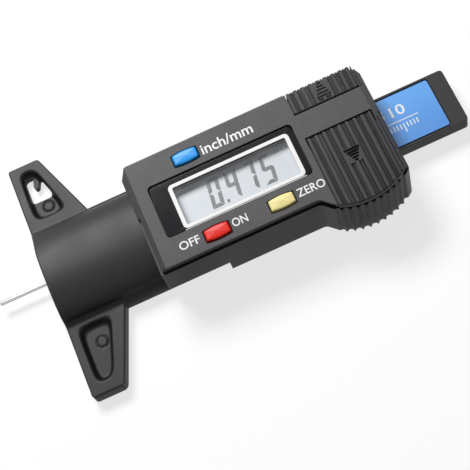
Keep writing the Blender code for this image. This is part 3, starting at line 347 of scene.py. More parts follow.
class Paint:
    """One material: a Principled shader and the nodes that feed it"""

    def __init__(self, name, colour, roughness, metallic=0.0, **settings):
        self.material = bpy.data.materials.new(name)
        self.material.use_nodes = True
        self.tree = self.material.node_tree
        self.shader = self.tree.nodes["Principled BSDF"]
        self.set("Base Color", (*colour, 1.0))
        self.set("Roughness", roughness)
        self.set("Metallic", metallic)
        for socket, value in settings.items():
            self.set(socket.replace("_", " "), value)

    def plug(self, socket, value):
        if isinstance(value, Wire):
            self.tree.links.new(value.socket, socket)
        else:
            socket.default_value = value

    def set(self, socket, value):
        self.plug(self.shader.inputs[socket], value)

    def add(self, kind, settings=None, values=None, output=0):
        """A node of any kind: its settings first, then the values or links of its sockets"""
        node = self.tree.nodes.new(kind)
        for name, value in (settings or {}).items():
            setattr(node, name, value)
        for socket, value in (values or {}).items():
            self.plug(node.inputs[socket], value)
        return Wire(self, node.outputs[output])

    def maths(self, operation, *values):
        return self.add("ShaderNodeMath", {"operation": operation}, dict(enumerate(values)))

    def place(self):
        return self.add("ShaderNodeTexCoord", output="Object")

    def axis(self, number):
        """One of the place's coordinates in metres: 0 for x, 1 for y, 2 for z"""
        return self.add("ShaderNodeSeparateXYZ", None, {"Vector": self.place()}, number)

    def noise(self, size, detail=2.0, roughness=0.5, place=None):
        """Noise with features of about size millimetres, from 0 to 1"""
        values = {
            "Vector": place or self.place(), "Scale": 1 / (size * MM), "Detail": detail,
            "Roughness": roughness}
        return self.add("ShaderNodeTexNoise", None, values)

    def between(self, value, low, high, start=0.0, end=1.0):
        """Smooth step from start, where value is low, to end, where it is high"""
        values = {"Value": value, "From Min": low, "From Max": high, "To Min": start, "To Max": end}
        return self.add("ShaderNodeMapRange", {"interpolation_type": "SMOOTHSTEP"}, values)

    def mix(self, factor, first, second):
        """Colours mixed by factor"""
        values = {"Factor": factor, 6: first, 7: second}
        return self.add("ShaderNodeMix", {"data_type": "RGBA"}, values, 2)

    def bump(self, height, depth):
        """Relief of depth millimetres where height goes from 0 to 1"""
        values = {"Height": height, "Distance": depth * MM, "Strength": 1.0}
        self.set("Normal", self.add("ShaderNodeBump", None, values))


def tinted(colour, factor):
    """Colour made darker or paler, with its alpha"""
    return (*[min(part * factor, 1.0) for part in colour], 1.0)


def wing_hollow_shade(paint):
    """0 to 1 on the base between 1.8 and 3.4 mm up: the pockets' sloping walls and the outer edges, where the
    base material paints shade
    """
    height = paint.axis(2)
    return paint.between(height, 0.0018, 0.0023) * paint.between(height, 0.0029, 0.0034, 1.0, 0.0)


def groove_shade(paint):
    """0 to 1 down the walls of a cover's grooves, as stored on its vertices: where the door material paints
    shade
    """
    return paint.add("ShaderNodeAttribute", {"attribute_name": GROOVE_MARK}, output=2)


def moulded_plastic(name, colour, roughness, grain=0.16, depth=0.012, speckle=0.25, painted_shade=None):
    """Plastic from a spark-eroded mould: fine pits, slow shifts of gloss and a few pale specks.

    The last argument gives the places where shade is painted into the colour, which falls there to about a
    fifth of itself.
    """
    paint = Paint(name, colour, roughness, Specular_IOR_Level=0.18)
    fine = paint.noise(grain, 3.0, 0.6)
    slow = paint.noise(9.0, 2.0)
    dust = paint.between(paint.noise(0.45, 2.0), 0.70, 0.80)
    shade = paint.mix(
        paint.between(fine, 0.35, 0.65), tinted(colour, 1 - speckle), tinted(colour, 1 + speckle))
    shade = paint.mix(dust * 0.35, shade, tinted(colour, 3.0))
    # Painted shade: where the mask is full, the colour falls to about a fifth of itself
    if painted_shade:
        shade = paint.mix(painted_shade(paint) * 0.9, shade, tinted(colour, 0.12))
    paint.set("Base Color", shade)
    paint.set("Roughness", roughness + (slow - 0.5) * 0.18 + (fine - 0.5) * 0.12)
    paint.bump(fine, depth)
    return paint


def clean_metal(name, colour, roughness):
    """Metal with fine drawn lines along x"""
    paint = Paint(name, colour, roughness, 1.0)
    stretch = paint.add(
        "ShaderNodeMapping", None, {"Vector": paint.place(), "Scale": (0.06, 1.0, 1.0)})
    lines = paint.noise(0.3, 3.0, 0.6, stretch)
    paint.set("Roughness", roughness + (lines - 0.5) * 0.16)
    paint.set("Base Color", paint.mix(lines, tinted(colour, 0.88), tinted(colour, 1.08)))
    paint.bump(lines, 0.002)
    return paint


# Painted shade in the base's pockets and along its outer edges
BASE_BLACK = moulded_plastic("base_plastic", (0.024, 0.0225, 0.024), 0.44, painted_shade=wing_hollow_shade)
CASE_BLACK = moulded_plastic("case_plastic", (0.030, 0.028, 0.030), 0.42)
COVER_GREY = moulded_plastic("cover_plastic", (0.066, 0.063, 0.067), 0.48, 0.18, 0.02, 0.3)
# Painted shade in the door's grooves and arrow
DOOR_BLACK = moulded_plastic("door_plastic", (0.036, 0.034, 0.036), 0.4, painted_shade=groove_shade)
BEAM_BLACK = moulded_plastic("beam_plastic", (0.028, 0.027, 0.029), 0.42)
PLATE_BLACK = moulded_plastic("plate_plastic", (0.030, 0.029, 0.031), 0.6, 0.2, 0.02)
PIN_STEEL = clean_metal("pin_steel", (0.50, 0.50, 0.51), 0.3)
SCREW_STEEL = clean_metal("screw_steel", (0.55, 0.55, 0.56), 0.35)


def printed_white(name, level):
    """Screen-printed ink: slightly uneven cover and gloss; one copy of it also paints a highlight"""
    paint = Paint(name, (level,) * 3, 0.55)
    patches = paint.noise(0.25, 3.0, 0.6)
    paint.set("Base Color", paint.mix(patches, tinted((level,) * 3, 0.86), tinted((level,) * 3, 1.06)))
    paint.set("Roughness", 0.5 + patches * 0.15)
    return paint


def glossy_mask():
    """Smooth black ink seen through the pane, with faint dust"""
    paint = Paint("mask_black", (0.012, 0.012, 0.014), 0.12, Specular_IOR_Level=0.08)
    dust = paint.between(paint.noise(0.3, 2.0), 0.72, 0.80)
    paint.set("Base Color", paint.mix(dust * 0.15, (0.012, 0.012, 0.014, 1), (0.25, 0.25, 0.26, 1)))
    paint.set("Roughness", 0.10 + paint.noise(2.0, 3.0) * 0.08)
    return paint


def clear_pane():
    """Clear plastic: nearly transparent, with a few hairline smears"""
    paint = Paint("window_clear", (0.9, 0.92, 0.95), 0.06, Specular_IOR_Level=0.3)
    smear = paint.noise(3.0, 4.0, 0.6)
    paint.set("Alpha", 0.05 + paint.between(smear, 0.5, 0.75) * 0.04)
    paint.set("Roughness", 0.04 + smear * 0.06)
    return paint


def display_glass():
    """Reflective display: pale grey with painted shade along its upper and left edges, finely mottled"""
    paint = Paint("lcd_grey", (0.5, 0.53, 0.57), 0.35)
    x = paint.axis(0)
    y = paint.axis(1)
    fine = paint.noise(0.12, 2.0)
    slow = paint.noise(6.0, 2.0)
    # Painted shade: darker towards the upper and left edges, for the shadow cast by the window's rim
    shade = paint.between(y, 0.0008, 0.0031)
    side = paint.between(x, FACE_X + 0.0339, FACE_X + 0.0356, 1.0, 0.0)
    dark = paint.mix(shade, (0.50, 0.54, 0.575, 1), (0.24, 0.25, 0.27, 1))
    dark = paint.mix(side * 0.45, dark, (0.26, 0.27, 0.29, 1))
    dark = paint.mix(paint.between(fine, 0.3, 0.7) * 0.08, dark, (0.42, 0.45, 0.48, 1))
    paint.set("Base Color", paint.mix(slow * 0.12, dark, (0.66, 0.68, 0.74, 1)))
    paint.set("Roughness", 0.30 + fine * 0.1)
    return paint


def display_ink(name, level):
    """Liquid crystal that has turned dark, or faintly so at a higher level"""
    colour = (0.022, 0.025, 0.030)
    paint = Paint(name, colour, 0.4)
    uneven = paint.noise(0.4, 3.0)
    paint.set("Base Color", paint.mix(uneven, tinted(colour, 0.7 * level), tinted(colour, 1.3 * level)))
    return paint


def label_film():
    """Blue film, paler towards its upper edge, with slow gloss shifts"""
    paint = Paint("label_blue", (0.09, 0.33, 0.78), 0.4)
    y = paint.axis(1)
    fine = paint.noise(0.2, 3.0, 0.6)
    base = paint.mix(paint.between(y, -0.006, 0.006), (0.05, 0.23, 0.62, 1), (0.075, 0.31, 0.74, 1))
    paint.set("Base Color", paint.mix(paint.between(fine, 0.3, 0.7) * 0.12, base, (0.12, 0.42, 0.88, 1)))
    paint.set("Roughness", 0.32 + paint.noise(5.0, 2.0) * 0.18)
    return paint


def circuit_board():
    """Green mask over copper: rows of tracks, fine weave"""
    paint = Paint("board_green", (0.02, 0.16, 0.07), 0.4)
    x = paint.axis(0)
    y = paint.axis(1)
    bend = paint.noise(5.0, 1.0) * 3.0
    rows = (paint.maths("SINE", y * 3600.0 + bend) > 0.55)
    columns = (paint.maths("SINE", x * 2600.0 + bend) > 0.86)
    tracks = paint.maths("MAXIMUM", rows, columns)
    weave = paint.noise(0.15, 3.0)
    base = paint.mix(weave, (0.012, 0.12, 0.05, 1), (0.03, 0.19, 0.08, 1))
    paint.set("Base Color", paint.mix(tracks * 0.6, base, (0.05, 0.32, 0.12, 1)))
    paint.set("Roughness", 0.35 + weave * 0.15)
    paint.bump(tracks, 0.03)
    return paint


def zebra_rubber():
    """Silicone with fine conducting stripes across it"""
    paint = Paint("zebra_pink", (0.7, 0.35, 0.4), 0.55)
    x = paint.axis(0)
    stripes = paint.maths("SINE", x * 25000.0) > 0.1
    soft = paint.noise(0.5, 2.0)
    paint.set("Base Color", paint.mix(stripes, (0.72, 0.36, 0.42, 1), (0.05, 0.04, 0.045, 1)))
    paint.set("Roughness", 0.5 + soft * 0.2)
    return paint


def scale_copper():
    """Etched scale: copper bars under lacquer along the strip"""
    paint = Paint("strip_copper", (0.6, 0.3, 0.12), 0.35)
    x = paint.axis(0)
    y = paint.axis(1)
    bars = (paint.maths("SINE", x * 3200.0) > 0.0) * (paint.maths("ABSOLUTE", y) < 0.004)
    grain = paint.noise(0.2, 3.0)
    base = paint.mix(grain, (0.03, 0.12, 0.05, 1), (0.05, 0.16, 0.07, 1))
    paint.set("Base Color", paint.mix(bars, base, (0.62, 0.32, 0.12, 1)))
    paint.set("Roughness", 0.3 + grain * 0.15)
    return paint


def resin_black():
    """Drop of potting resin: smooth with small bubbles"""
    paint = Paint("chip_black", (0.015, 0.015, 0.015), 0.22)
    bubbles = paint.between(paint.noise(0.4, 2.0), 0.62, 0.75)
    paint.set("Base Color", paint.mix(bubbles * 0.5, (0.012, 0.012, 0.012, 1), (0.04, 0.04, 0.04, 1)))
    paint.set("Roughness", 0.16 + bubbles * 0.3)
    return paint


PRINT_AND_HIGHLIGHT_WHITE = printed_white("print_and_highlight_white", 0.80)
LABEL_WHITE = printed_white("label_white", 0.78)
BUTTON_BLUE = moulded_plastic("button_blue", (0.02, 0.30, 0.78), 0.28, 0.3, 0.003, 0.04)
BUTTON_RED = moulded_plastic("button_red", (0.72, 0.02, 0.012), 0.30, 0.3, 0.003, 0.04)
BUTTON_YELLOW = moulded_plastic("button_yellow", (0.80, 0.70, 0.30), 0.35, 0.3, 0.003, 0.04)
MASK_BLACK = glossy_mask()
PANE_CLEAR = clear_pane()
FRAME_WHITE = moulded_plastic("frame_white", (0.78, 0.78, 0.79), 0.45, 0.3, 0.002, 0.02)
LCD_GREY = display_glass()
LCD_DARK = display_ink("lcd_dark", 1.0)
LCD_FAINT = display_ink("lcd_faint", 10.0)
LABEL_BLUE = label_film()
BOARD_GREEN = circuit_board()
ZEBRA_PINK = zebra_rubber()
STRIP_COPPER = scale_copper()
CHIP_BLACK = resin_black()
DOME_STEEL = clean_metal("dome_steel", (0.75, 0.75, 0.72), 0.25)
CELL_STEEL = clean_metal("cell_steel", (0.52, 0.52, 0.53), 0.34)
CONTACT_STEEL = clean_metal("contact_steel", (0.78, 0.78, 0.76), 0.30)
PAD_GOLD = clean_metal("pad_gold", (0.85, 0.62, 0.25), 0.30)
SPRING_BRONZE = clean_metal("spring_bronze", (0.70, 0.48, 0.28), 0.32)


def dress(item, body, slot, paint, *nodes):
    """Gives a piece its material and body, and hides the solids it stands for; its slot is not used"""
    item.data.materials.clear()
    item.data.materials.append(paint.material)
    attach(item, body)
    if nodes:
        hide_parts(*nodes)


# Camera, floor and lights

def turned_axes():
    """Columns of the camera's right, up and back before its roll"""
    tilt = np.array([[1, 0, 0], [0, math.cos(TILT), -math.sin(TILT)], [0, math.sin(TILT), math.cos(TILT)]])
    pan = np.array([[math.cos(PAN), 0, math.sin(PAN)], [0, 1, 0], [-math.sin(PAN), 0, math.cos(PAN)]])
    return tilt @ pan


def camera():
    """Lens, place and roll that match the photograph"""
    axes = turned_axes()
    right = axes[:, 0] * math.cos(ROLL) - axes[:, 1] * math.sin(ROLL)
    up = axes[:, 0] * math.sin(ROLL) + axes[:, 1] * math.cos(ROLL)
    back = axes[:, 2]
    centre = placed(np.array([*AIM, 0.0]) + back * DISTANCE)[0]
    matrix = Matrix([[right[i], up[i], back[i], centre[i]] for i in range(3)] + [[0, 0, 0, 1]])
    data = bpy.data.cameras.new("camera")
    data.sensor_width = SENSOR
    data.lens = FOCAL_PIXELS / PHOTO_WIDTH * SENSOR
    data.clip_start, data.clip_end = 0.01, 20.0
    item = new_object("camera", data)
    item.matrix_world = matrix
    bpy.context.scene.camera = item


# Kinds of ray that see the pale background at full strength
SHOWN_RAYS = ("Camera", "Glossy", "Transmission")
WORLD_LIGHT = 0.10
FLOOR_GREY = 0.26
FLOOR_GLOW = 0.74
FLOOR_REACH = 3.0
FLOOR_GAP = 0.0002


def floor():
    """Pale ground that keeps the shadow, lit up by itself for the shown rays"""
    mesh = bpy.data.meshes.new("floor")
    corners = [(x * FLOOR_REACH, y * FLOOR_REACH, 0) for x, y in ((-1, -1), (1, -1), (1, 1), (-1, 1))]
    mesh.from_pydata(corners, [], [(0, 1, 2, 3)])
    item = new_object("floor", mesh)
    item.location.z = CAD_BOX[0][2] - FLOOR_GAP
    paint = Paint("floor_white", (FLOOR_GREY,) * 3, 0.9)
    paint.set("Specular IOR Level", 0.1)
    seen = [paint.add("ShaderNodeLightPath", output=f"Is {kind} Ray") for kind in SHOWN_RAYS]
    strength = (seen[0] + seen[1] + seen[2]) * FLOOR_GLOW
    glow = paint.add("ShaderNodeEmission", None, {"Color": (1, 1, 1, 1), "Strength": strength})
    both = paint.add(
        "ShaderNodeAddShader", None, {0: Wire(paint, paint.shader.outputs[0]), 1: glow})
    paint.plug(paint.tree.nodes["Material Output"].inputs["Surface"], both)
    mesh.materials.append(paint.material)


def softbox(name, place, aim, size, power):
    """Rectangular lamp turned towards the aim"""
    data = bpy.data.lights.new(name, "AREA")
    data.shape = "RECTANGLE"
    data.size, data.size_y = size
    data.energy = power
    item = new_object(name, data)
    item.location = place
    item.rotation_euler = (Vector(aim) - Vector(place)).to_track_quat("-Z", "Y").to_euler()


def world():
    """White where the shown rays meet it, and a weak fill light elsewhere"""
    studio = bpy.data.worlds.new("studio")
    studio.use_nodes = True
    bpy.context.scene.world = studio
    tree = studio.node_tree
    background = tree.nodes["Background"]
    path = tree.nodes.new("ShaderNodeLightPath")
    total = path.outputs[f"Is {SHOWN_RAYS[0]} Ray"]
    for kind in SHOWN_RAYS[1:]:
        step = tree.nodes.new("ShaderNodeMath")
        tree.links.new(total, step.inputs[0])
        tree.links.new(path.outputs[f"Is {kind} Ray"], step.inputs[1])
        total = step.outputs[0]
    seen = tree.nodes.new("ShaderNodeMapRange")
    seen.inputs["To Min"].default_value = WORLD_LIGHT
    seen.inputs["To Max"].default_value = 1.0
    tree.links.new(total, seen.inputs["Value"])
    tree.links.new(seen.outputs["Result"], background.inputs["Strength"])
    background.inputs["Color"].default_value = (1, 1, 1, 1)


def lights():
    """One lamp behind the gauge, in metres and watts"""
    softbox("key", place=(-0.07, 0.30, 0.38), aim=(0, 0, 0), size=(0.24, 0.16), power=3.1)


# Base: wings, neck and tongue

SPAN = 30.0
WING_TIP = 7.6
WING_ROOT = 14.1
WING_CORNER = 0.9
FOOT = 12.75
CROWN_HALF = 11.65
CROWN_RISE = 5.6
CROWN_ROUNDNESS = 2.15
NECK_END = 24.34
TONGUE_END = 38.5
FOOT_FILLET = 1.4
EDGE_ROUND = 0.35
DOME_LEAN = 0.035
SHOULDER_LEAN = 0.09


def crown(y):
    """Superellipse: (|y|/half)^n + (rise/height)^n = 1"""
    inside = np.clip(1 - (np.abs(y) / CROWN_HALF) ** CROWN_ROUNDNESS, 0, 1)
    return CROWN_RISE * inside ** (1 / CROWN_ROUNDNESS)


FILLET_START = CROWN_HALF * (1 - (FOOT_FILLET / CROWN_RISE) ** CROWN_ROUNDNESS) ** (1 / CROWN_ROUNDNESS)


def neck_rise(y):
    """The crown down to the fillet, then a quarter circle out to the plate"""
    out = np.clip(np.abs(y) - FILLET_START, 0, FOOT_FILLET)
    fillet = FOOT_FILLET - np.sqrt(FOOT_FILLET ** 2 - (FOOT_FILLET - out) ** 2)
    return np.where(np.abs(y) < FILLET_START, crown(y), fillet)


def outline_distance(x, y, outline):
    """Least distance from each point to the segments of a closed outline"""
    start = np.asarray(outline, float)
    along = np.roll(start, -1, axis=0) - start
    point = np.stack([x, y], axis=-1)[..., None, :] - start
    share = np.clip((point * along).sum(-1) / (along ** 2).sum(-1), 0, 1)
    gap = point - share[..., None] * along
    return np.sqrt((gap ** 2).sum(-1)).min(-1)


def inside_distance(x, y, corners, blur):
    """Depth inside a convex outline, its corners rounded by a soft minimum"""
    start = np.asarray(corners, float)
    along = np.roll(start, -1, axis=0) - start
    normal = np.stack([-along[:, 1], along[:, 0]], axis=1) / np.linalg.norm(along, axis=1)[:, None]
    point = np.stack([x, y], axis=-1)[..., None, :] - start
    depth = (point * normal).sum(-1)
    return -blur * np.log(np.exp(-np.clip(depth, -6, 40) / blur).sum(-1))


def smooth(value, low, high):
    """Smooth step from 0 at low to 1 at high"""
    part = np.clip((value - low) / (high - low), 0, 1)
    return part * part * (3 - 2 * part)


RIM = 2.3
POCKET_TIP = 3.6
POCKET_DEPTH = 1.6
POCKET_BLUR = 0.9
MARK_RADIUS = 1.3
# For each side: start and end in y, width at the start, and the ejector mark's share of the length
POCKETS = {1: (15.2, 28.0, 7.3, 0.23), -1: (13.7, 27.2, 7.8, 0.33)}


def pocket_corners(start, end, width):
    """Plan of a pocket, which narrows towards the wing's tip"""
    return [(RIM, start), (RIM + width, start), (RIM + POCKET_TIP, end), (RIM, end)]


def base_height(x, y):
    """Top of the base: plate, neck, two pockets with their ejector marks, and rounded edges"""
    side = np.where(y > 0, 1, -1)
    height = PLATE_TOP + np.where(x <= NECK_END, neck_rise(y), 0.0)
    for sign, (start, end, width, share) in POCKETS.items():
        corners = pocket_corners(start, end, width)
        depth = smooth(inside_distance(x, np.abs(y), corners, POCKET_BLUR), -0.45, 0.75)
        mark = np.hypot(x - RIM - width / 2, np.abs(y) - start - (end - start) * share)
        ring = -0.22 * np.exp(-((mark - MARK_RADIUS) / 0.16) ** 2) + 0.10 * smooth(mark, MARK_RADIUS, 0.9)
        height += np.where(side == sign, -POCKET_DEPTH * depth + ring * (mark < 2.2), 0.0)
    corners = [
        (0, SPAN), (WING_TIP, SPAN), (WING_ROOT, FOOT), (TONGUE_END, FOOT),
        (TONGUE_END, -FOOT), (WING_ROOT, -FOOT), (WING_TIP, -SPAN), (0, -SPAN)]
    edge = np.clip(outline_distance(x, y, corners), 0, EDGE_ROUND)
    return height - (EDGE_ROUND - np.sqrt(EDGE_ROUND ** 2 - (EDGE_ROUND - edge) ** 2))


def wing_span_at(y):
    """Front and rear x of a wing at y, with its tip's corners rounded"""
    out = np.clip(np.abs(y) - (SPAN - WING_CORNER), 0, WING_CORNER)
    corner = WING_CORNER - np.sqrt(WING_CORNER ** 2 - out ** 2)
    rear = WING_ROOT + (WING_TIP - WING_ROOT) * (np.abs(y) - FOOT) / (SPAN - FOOT)
    return corner, rear - corner


def base_patch(x, y, height, walls):
    """Grid with a flat bottom, walls along the named sides, and the dome's front leaning back"""
    rows, columns = x.shape
    shoulder = SHOULDER_LEAN * smooth(y, 4.0, 10.0) * smooth(x, 3.0, 0.0)
    lean = (DOME_LEAN + shoulder) * np.clip(height - PLATE_TOP, 0, None) * np.clip(1 - x / NECK_END, 0, 1)
    top = np.stack([x + lean, y, height], axis=-1).reshape(-1, 3)
    bottom = np.stack([x, y, np.zeros_like(x)], axis=-1).reshape(-1, 3)
    count = rows * columns
    index = np.arange(count).reshape(rows, columns)
    faces = [grid(rows, columns), grid(rows, columns, count)[:, ::-1]]
    for line in walls(index):
        faces.append(np.stack([line[:-1], line[1:], line[1:] + count, line[:-1] + count], axis=1))
    return np.concatenate([top, bottom]), np.concatenate(faces)


def hole_outline():
    """Key-shaped hanging hole: a wide mouth with a prong that hangs into it"""
    left, low, high, corner = 2.6, 20.1, 27.0, 0.9
    right, top_right, prong, slant, end = 8.1, 6.4, 4.9, 0.8, 23.75
    shoulder = high - 1.5 * corner
    return rounded([
        (left, low, corner), (right, low, corner), (top_right, shoulder, corner / 2),
        (prong + 1.1, shoulder, 0), (prong + 1.1 - slant, end, 0.5), (prong - slant, end, 0.5),
        (prong, high, 0), (left, high, corner)])


def base_piece():
    """Two wing patches and the neck's patch joined, then cut by hole, recess, channel and screw holes"""
    edges = np.array([0, 0.003, 0.008, 0.014, 0.022, 0.032])
    across = np.concatenate([edges, np.linspace(0.05, 0.95, 68), 1 - edges[::-1]])
    tip = SPAN - WING_CORNER + WING_CORNER * np.sin(np.radians(np.linspace(0, 90, 9)))
    along = np.concatenate([
        np.linspace(FOOT, 13.4, 7), np.linspace(13.6, SPAN - 1.1, 78), tip])
    patches = []
    for side in (1, -1):
        front, rear = wing_span_at(along)
        x = front[:, None] + (rear - front)[:, None] * across
        y = np.broadcast_to(side * along[:, None], x.shape)
        patches.append(base_patch(
            x, y, base_height(x, y), lambda index: (index[:, 0], index[:, -1], index[-1])))
    crown_rows = FILLET_START * np.sin(np.radians(np.linspace(0, 90, 30)))
    fillet_rows = FILLET_START + (FOOT - FILLET_START) * np.linspace(0, 1, 10)[1:] ** 1.4
    half = np.concatenate([crown_rows, fillet_rows])
    rows = np.concatenate([-half[:0:-1], half])
    columns = np.concatenate([
        WING_ROOT * across, np.linspace(WING_ROOT, NECK_END, 12)[1:], [NECK_END + 0.01],
        np.linspace(NECK_END + 0.3, TONGUE_END - 0.4, 14), [TONGUE_END - 0.2, TONGUE_END]])
    x, y = np.meshgrid(columns, rows)
    flange = len(across) - 1
    patches.append(base_patch(x, y, base_height(x, y), lambda index: (
        index[:, 0], index[:, -1], index[0, flange:], index[-1, flange:])))
    points, faces, count = [], [], 0
    for patch_points, patch_faces in patches:
        points.append(patch_points)
        faces.append(patch_faces + count)
        count += len(patch_points)
    item = tidy(new_piece("base_body", np.concatenate(points), np.concatenate(faces)))
    cutters = [
        slab("hole", hole_outline(), -2, 6),
        block("recess", (1.7, 45), (-11.8, 11.8), (-2, 1.2)),
        block("channel", (3.0, 46), (-8.2, 8.2), (-3, 5.0)),
    ]
    for x, top in ((7.0, 3.3), (30.0, 6.0)):
        cutters += [slab("screw_hole", disc((x, y), 0.8), -1, top) for y in (9.35, -9.35)]
    item = cut(item, cutters)
    tidy(item)
    dress(item, "housing", "base_frame", BASE_BLACK, "base_frame")


# Module

def case_piece():
    dress(moulded("rear_case", 0.12, 2), "housing", "rear_case", CASE_BLACK, "rear_case")


def cover_piece():
    dress(moulded("front_cover", 0.15, 3), "housing", "front_cover", COVER_GREY, "front_cover")


def window():
    """Pane with a black mask and a white band printed round the view, and a fine white line below that is a
    painted highlight on the pane's lower edge
    """
    outside = rectangle((29.15, 62.95), (-8.05, 4.85), 0.9)
    mask = soft_ring("window_mask", outside, rectangle((33.9, 60.9), (-6.75, 2.5), 0.5), 13.7, 14.5, 0.16)
    dress(mask, "housing", "window_lens", MASK_BLACK, "window_lens")
    pane = soft_slab("window_pane", rectangle((33.95, 60.85), (-6.7, 2.45), 0.45), 13.75, 14.45, 0.05)
    dress(pane, "housing", "window_lens", PANE_CLEAR)
    outside = rectangle((33.1, 61.7), (-7.7, 3.45), 1.0)
    band = soft_ring("window_band", outside, rectangle((34.0, 60.8), (-6.85, 2.6), 0.4), 14.49, 14.56, 0.03)
    dress(band, "housing", "window_lens", PRINT_AND_HIGHLIGHT_WHITE)
    # Painted highlight: a thin white strip for the light caught on the pane's lower edge
    line = block("window_highlight_line", (33.2, 61.6), (-7.98, -7.84), (14.42, 14.55))
    dress(line, "housing", "window_lens", PRINT_AND_HIGHLIGHT_WHITE)


def display():
    """Pale frame under the window, the reading and the faint unit mark"""
    outside = rectangle((33.1, 61.7), (-7.45, 3.9), 1.0)
    inside = rectangle((34.0, 60.8), (-6.55, 3.0), 0.4)
    bezel = soft_ring("display_bezel", outside, inside, COVER_UNDERSIDE, 13.4, 0.15)
    dress(bezel, "housing", "display_frame", FRAME_WHITE, "display_frame")
    digits()
    unit = words("display_unit", "in", (57.6, 59.3), (1.2, 2.7), GLASS_TOP + 0.02, 0.04, 0.0)
    dress(unit, "housing", "lcd_glass", LCD_FAINT)


# Bars of each digit, named as on any seven-segment display
SEGMENTS = {"0": "abcdef", "4": "bcfg", "7": "abc", "5": "acdfg"}
DIGIT_WIDTH, DIGIT_HEIGHT, DIGIT_SLANT, STROKE = 2.75, 7.25, 0.12, 0.86
DIGIT_LOW = -5.1


def segment(letter):
    """Outline of one bar of a digit before the slant, with mitred ends and a small gap at each corner"""
    half_width, half_height, gap = DIGIT_WIDTH / 2, DIGIT_HEIGHT / 2, 0.09
    if letter in "adg":
        level = {"a": half_height, "g": 0.0, "d": -half_height}[letter]
        reach = half_width - gap
        if letter == "g":
            return np.array([
                (-reach, 0), (-reach + STROKE / 2, -STROKE / 2), (reach - STROKE / 2, -STROKE / 2),
                (reach, 0), (reach - STROKE / 2, STROKE / 2), (-reach + STROKE / 2, STROKE / 2)])
        inner = level - math.copysign(STROKE, level)
        return np.array([(-reach, level), (-reach + STROKE, inner), (reach - STROKE, inner), (reach, level)])
    outer = half_width if letter in "bc" else -half_width
    inner = outer - math.copysign(STROKE, outer)
    side = 1 if letter in "bf" else -1
    return np.array([
        (outer, side * (half_height - gap)), (inner, side * (half_height - gap - STROKE)),
        (inner, side * (gap + STROKE / 2)), (outer - math.copysign(STROKE / 4, outer), side * gap),
        (outer, side * (gap + STROKE / 8))])


def digits():
    """The reading: four digits and the point"""
    bars = []
    span = (GLASS_TOP + 0.02, GLASS_TOP + 0.06)
    for x, digit in zip((42.2, 46.4, 50.6, 54.8), "0475"):
        for letter in SEGMENTS[digit]:
            outline = segment(letter)
            outline[:, 0] += x + DIGIT_SLANT * outline[:, 1]
            outline[:, 1] += DIGIT_LOW + DIGIT_HEIGHT / 2
            bars.append(slab("bar", outline, *span))
    bars.append(block("bar", (43.85, 44.45), (-5.05, -4.3), span))
    dress(tidy(merged("display_digits", bars)), "housing", "lcd_glass", LCD_DARK)


def words(name, text, x, y, height, depth, weight):
    """Letters as a mesh, stretched to the given spans on the gauge"""
    curve = bpy.data.curves.new(name, "FONT")
    curve.body = text
    curve.size = 1.0
    curve.offset = weight
    curve.resolution_u = 4
    curve.extrude = 0.5
    drawn = new_object(name, curve)
    bpy.context.view_layer.update()
    mesh = bpy.data.meshes.new_from_object(drawn.evaluated_get(bpy.context.evaluated_depsgraph_get()))
    bpy.data.objects.remove(drawn, do_unlink=True)
    points = np.empty(len(mesh.vertices) * 3)
    mesh.vertices.foreach_get("co", points)
    points = points.reshape(-1, 3)
    low, high = points.min(0), points.max(0)
    spans = np.array([x, y, (height, height + depth)], float)
    points = spans[:, 0] + (points - low) / (high - low) * (spans[:, 1] - spans[:, 0])
    mesh.vertices.foreach_set("co", placed(points).ravel())
    mesh.update()
    return new_object(name, mesh)


def face_words():
    """Words printed beside the buttons"""
    for name, text, x, y in (
            ("word_unit", "inch/mm", (43.2, 55.3), (6.75, 9.35)),
            ("word_off", "OFF", (30.5, 35.2), (-12.15, -10.15)),
            ("word_on", "ON", (42.8, 46.3), (-12.15, -10.15)),
            ("word_zero", "ZERO", (58.0, 64.4), (-12.1, -10.1))):
        item = words(name, text, x, y, FACE_TOP - 0.005, 0.02, 0.012)
        dress(item, "housing", "front_cover", PRINT_AND_HIGHLIGHT_WHITE)


# Buttons

def barrel(place, inwards):
    """Long edges bowed outwards between narrower ends"""
    half, narrow, wide = 2.95 - inwards, 1.4 - inwards, 1.7 - inwards
    along = np.linspace(-half, half, 13)
    bow = narrow + (wide - narrow) * (1 - (along / half) ** 2)
    lower = np.column_stack([along, -bow])
    upper = np.column_stack([-along, bow[::-1]])
    corners = np.concatenate([lower, upper])
    keep = [(*point, 0.35 if k in (0, 12, 13, 25) else 0.0) for k, point in enumerate(corners)]
    return rounded(keep, 5) + np.array(place)


def button(name, place, paint):
    """Cap with soft edges and a low crown, its flange under the cover, and a stem to the switch"""
    outline = barrel(place, 0.12)
    centre = outline.mean(0)
    edge, wall_top, top, rise = 0.5, 14.82, 15.32, 0.07
    rings = [flat_ring(outline, COVER_UNDERSIDE)]
    for angle in np.radians(np.linspace(0, 90, 7)):
        ring = inset(outline, edge * (1 - math.cos(angle)))
        rings.append(flat_ring(ring, wall_top + edge * math.sin(angle)))
    crown_edge = inset(outline, edge)
    for share in (0.75, 0.5, 0.25):
        rings.append(flat_ring(centre + (crown_edge - centre) * share, top + rise * (1 - share ** 2)))
    cap = loft("cap", rings)
    stem_y = place[1] - math.copysign(0.6, place[1])
    low, high = 11.8, 12.3
    flange = block(
        "flange", (place[0] - 3.45, place[0] + 3.45), (place[1] - 1.1, place[1] + 1.1), (low, high))
    neck = slab("neck", inset(outline, 0.4), high, COVER_UNDERSIDE)
    stem = slab("stem", disc((place[0], stem_y), 1.0), 7.86, low)
    item = weighted(tidy(merged(f"{name}_cap", [cap, flange, neck, stem]), 40))
    dress(item, name.replace("button", "key"), name, paint, name)


# Covers of the battery and the port

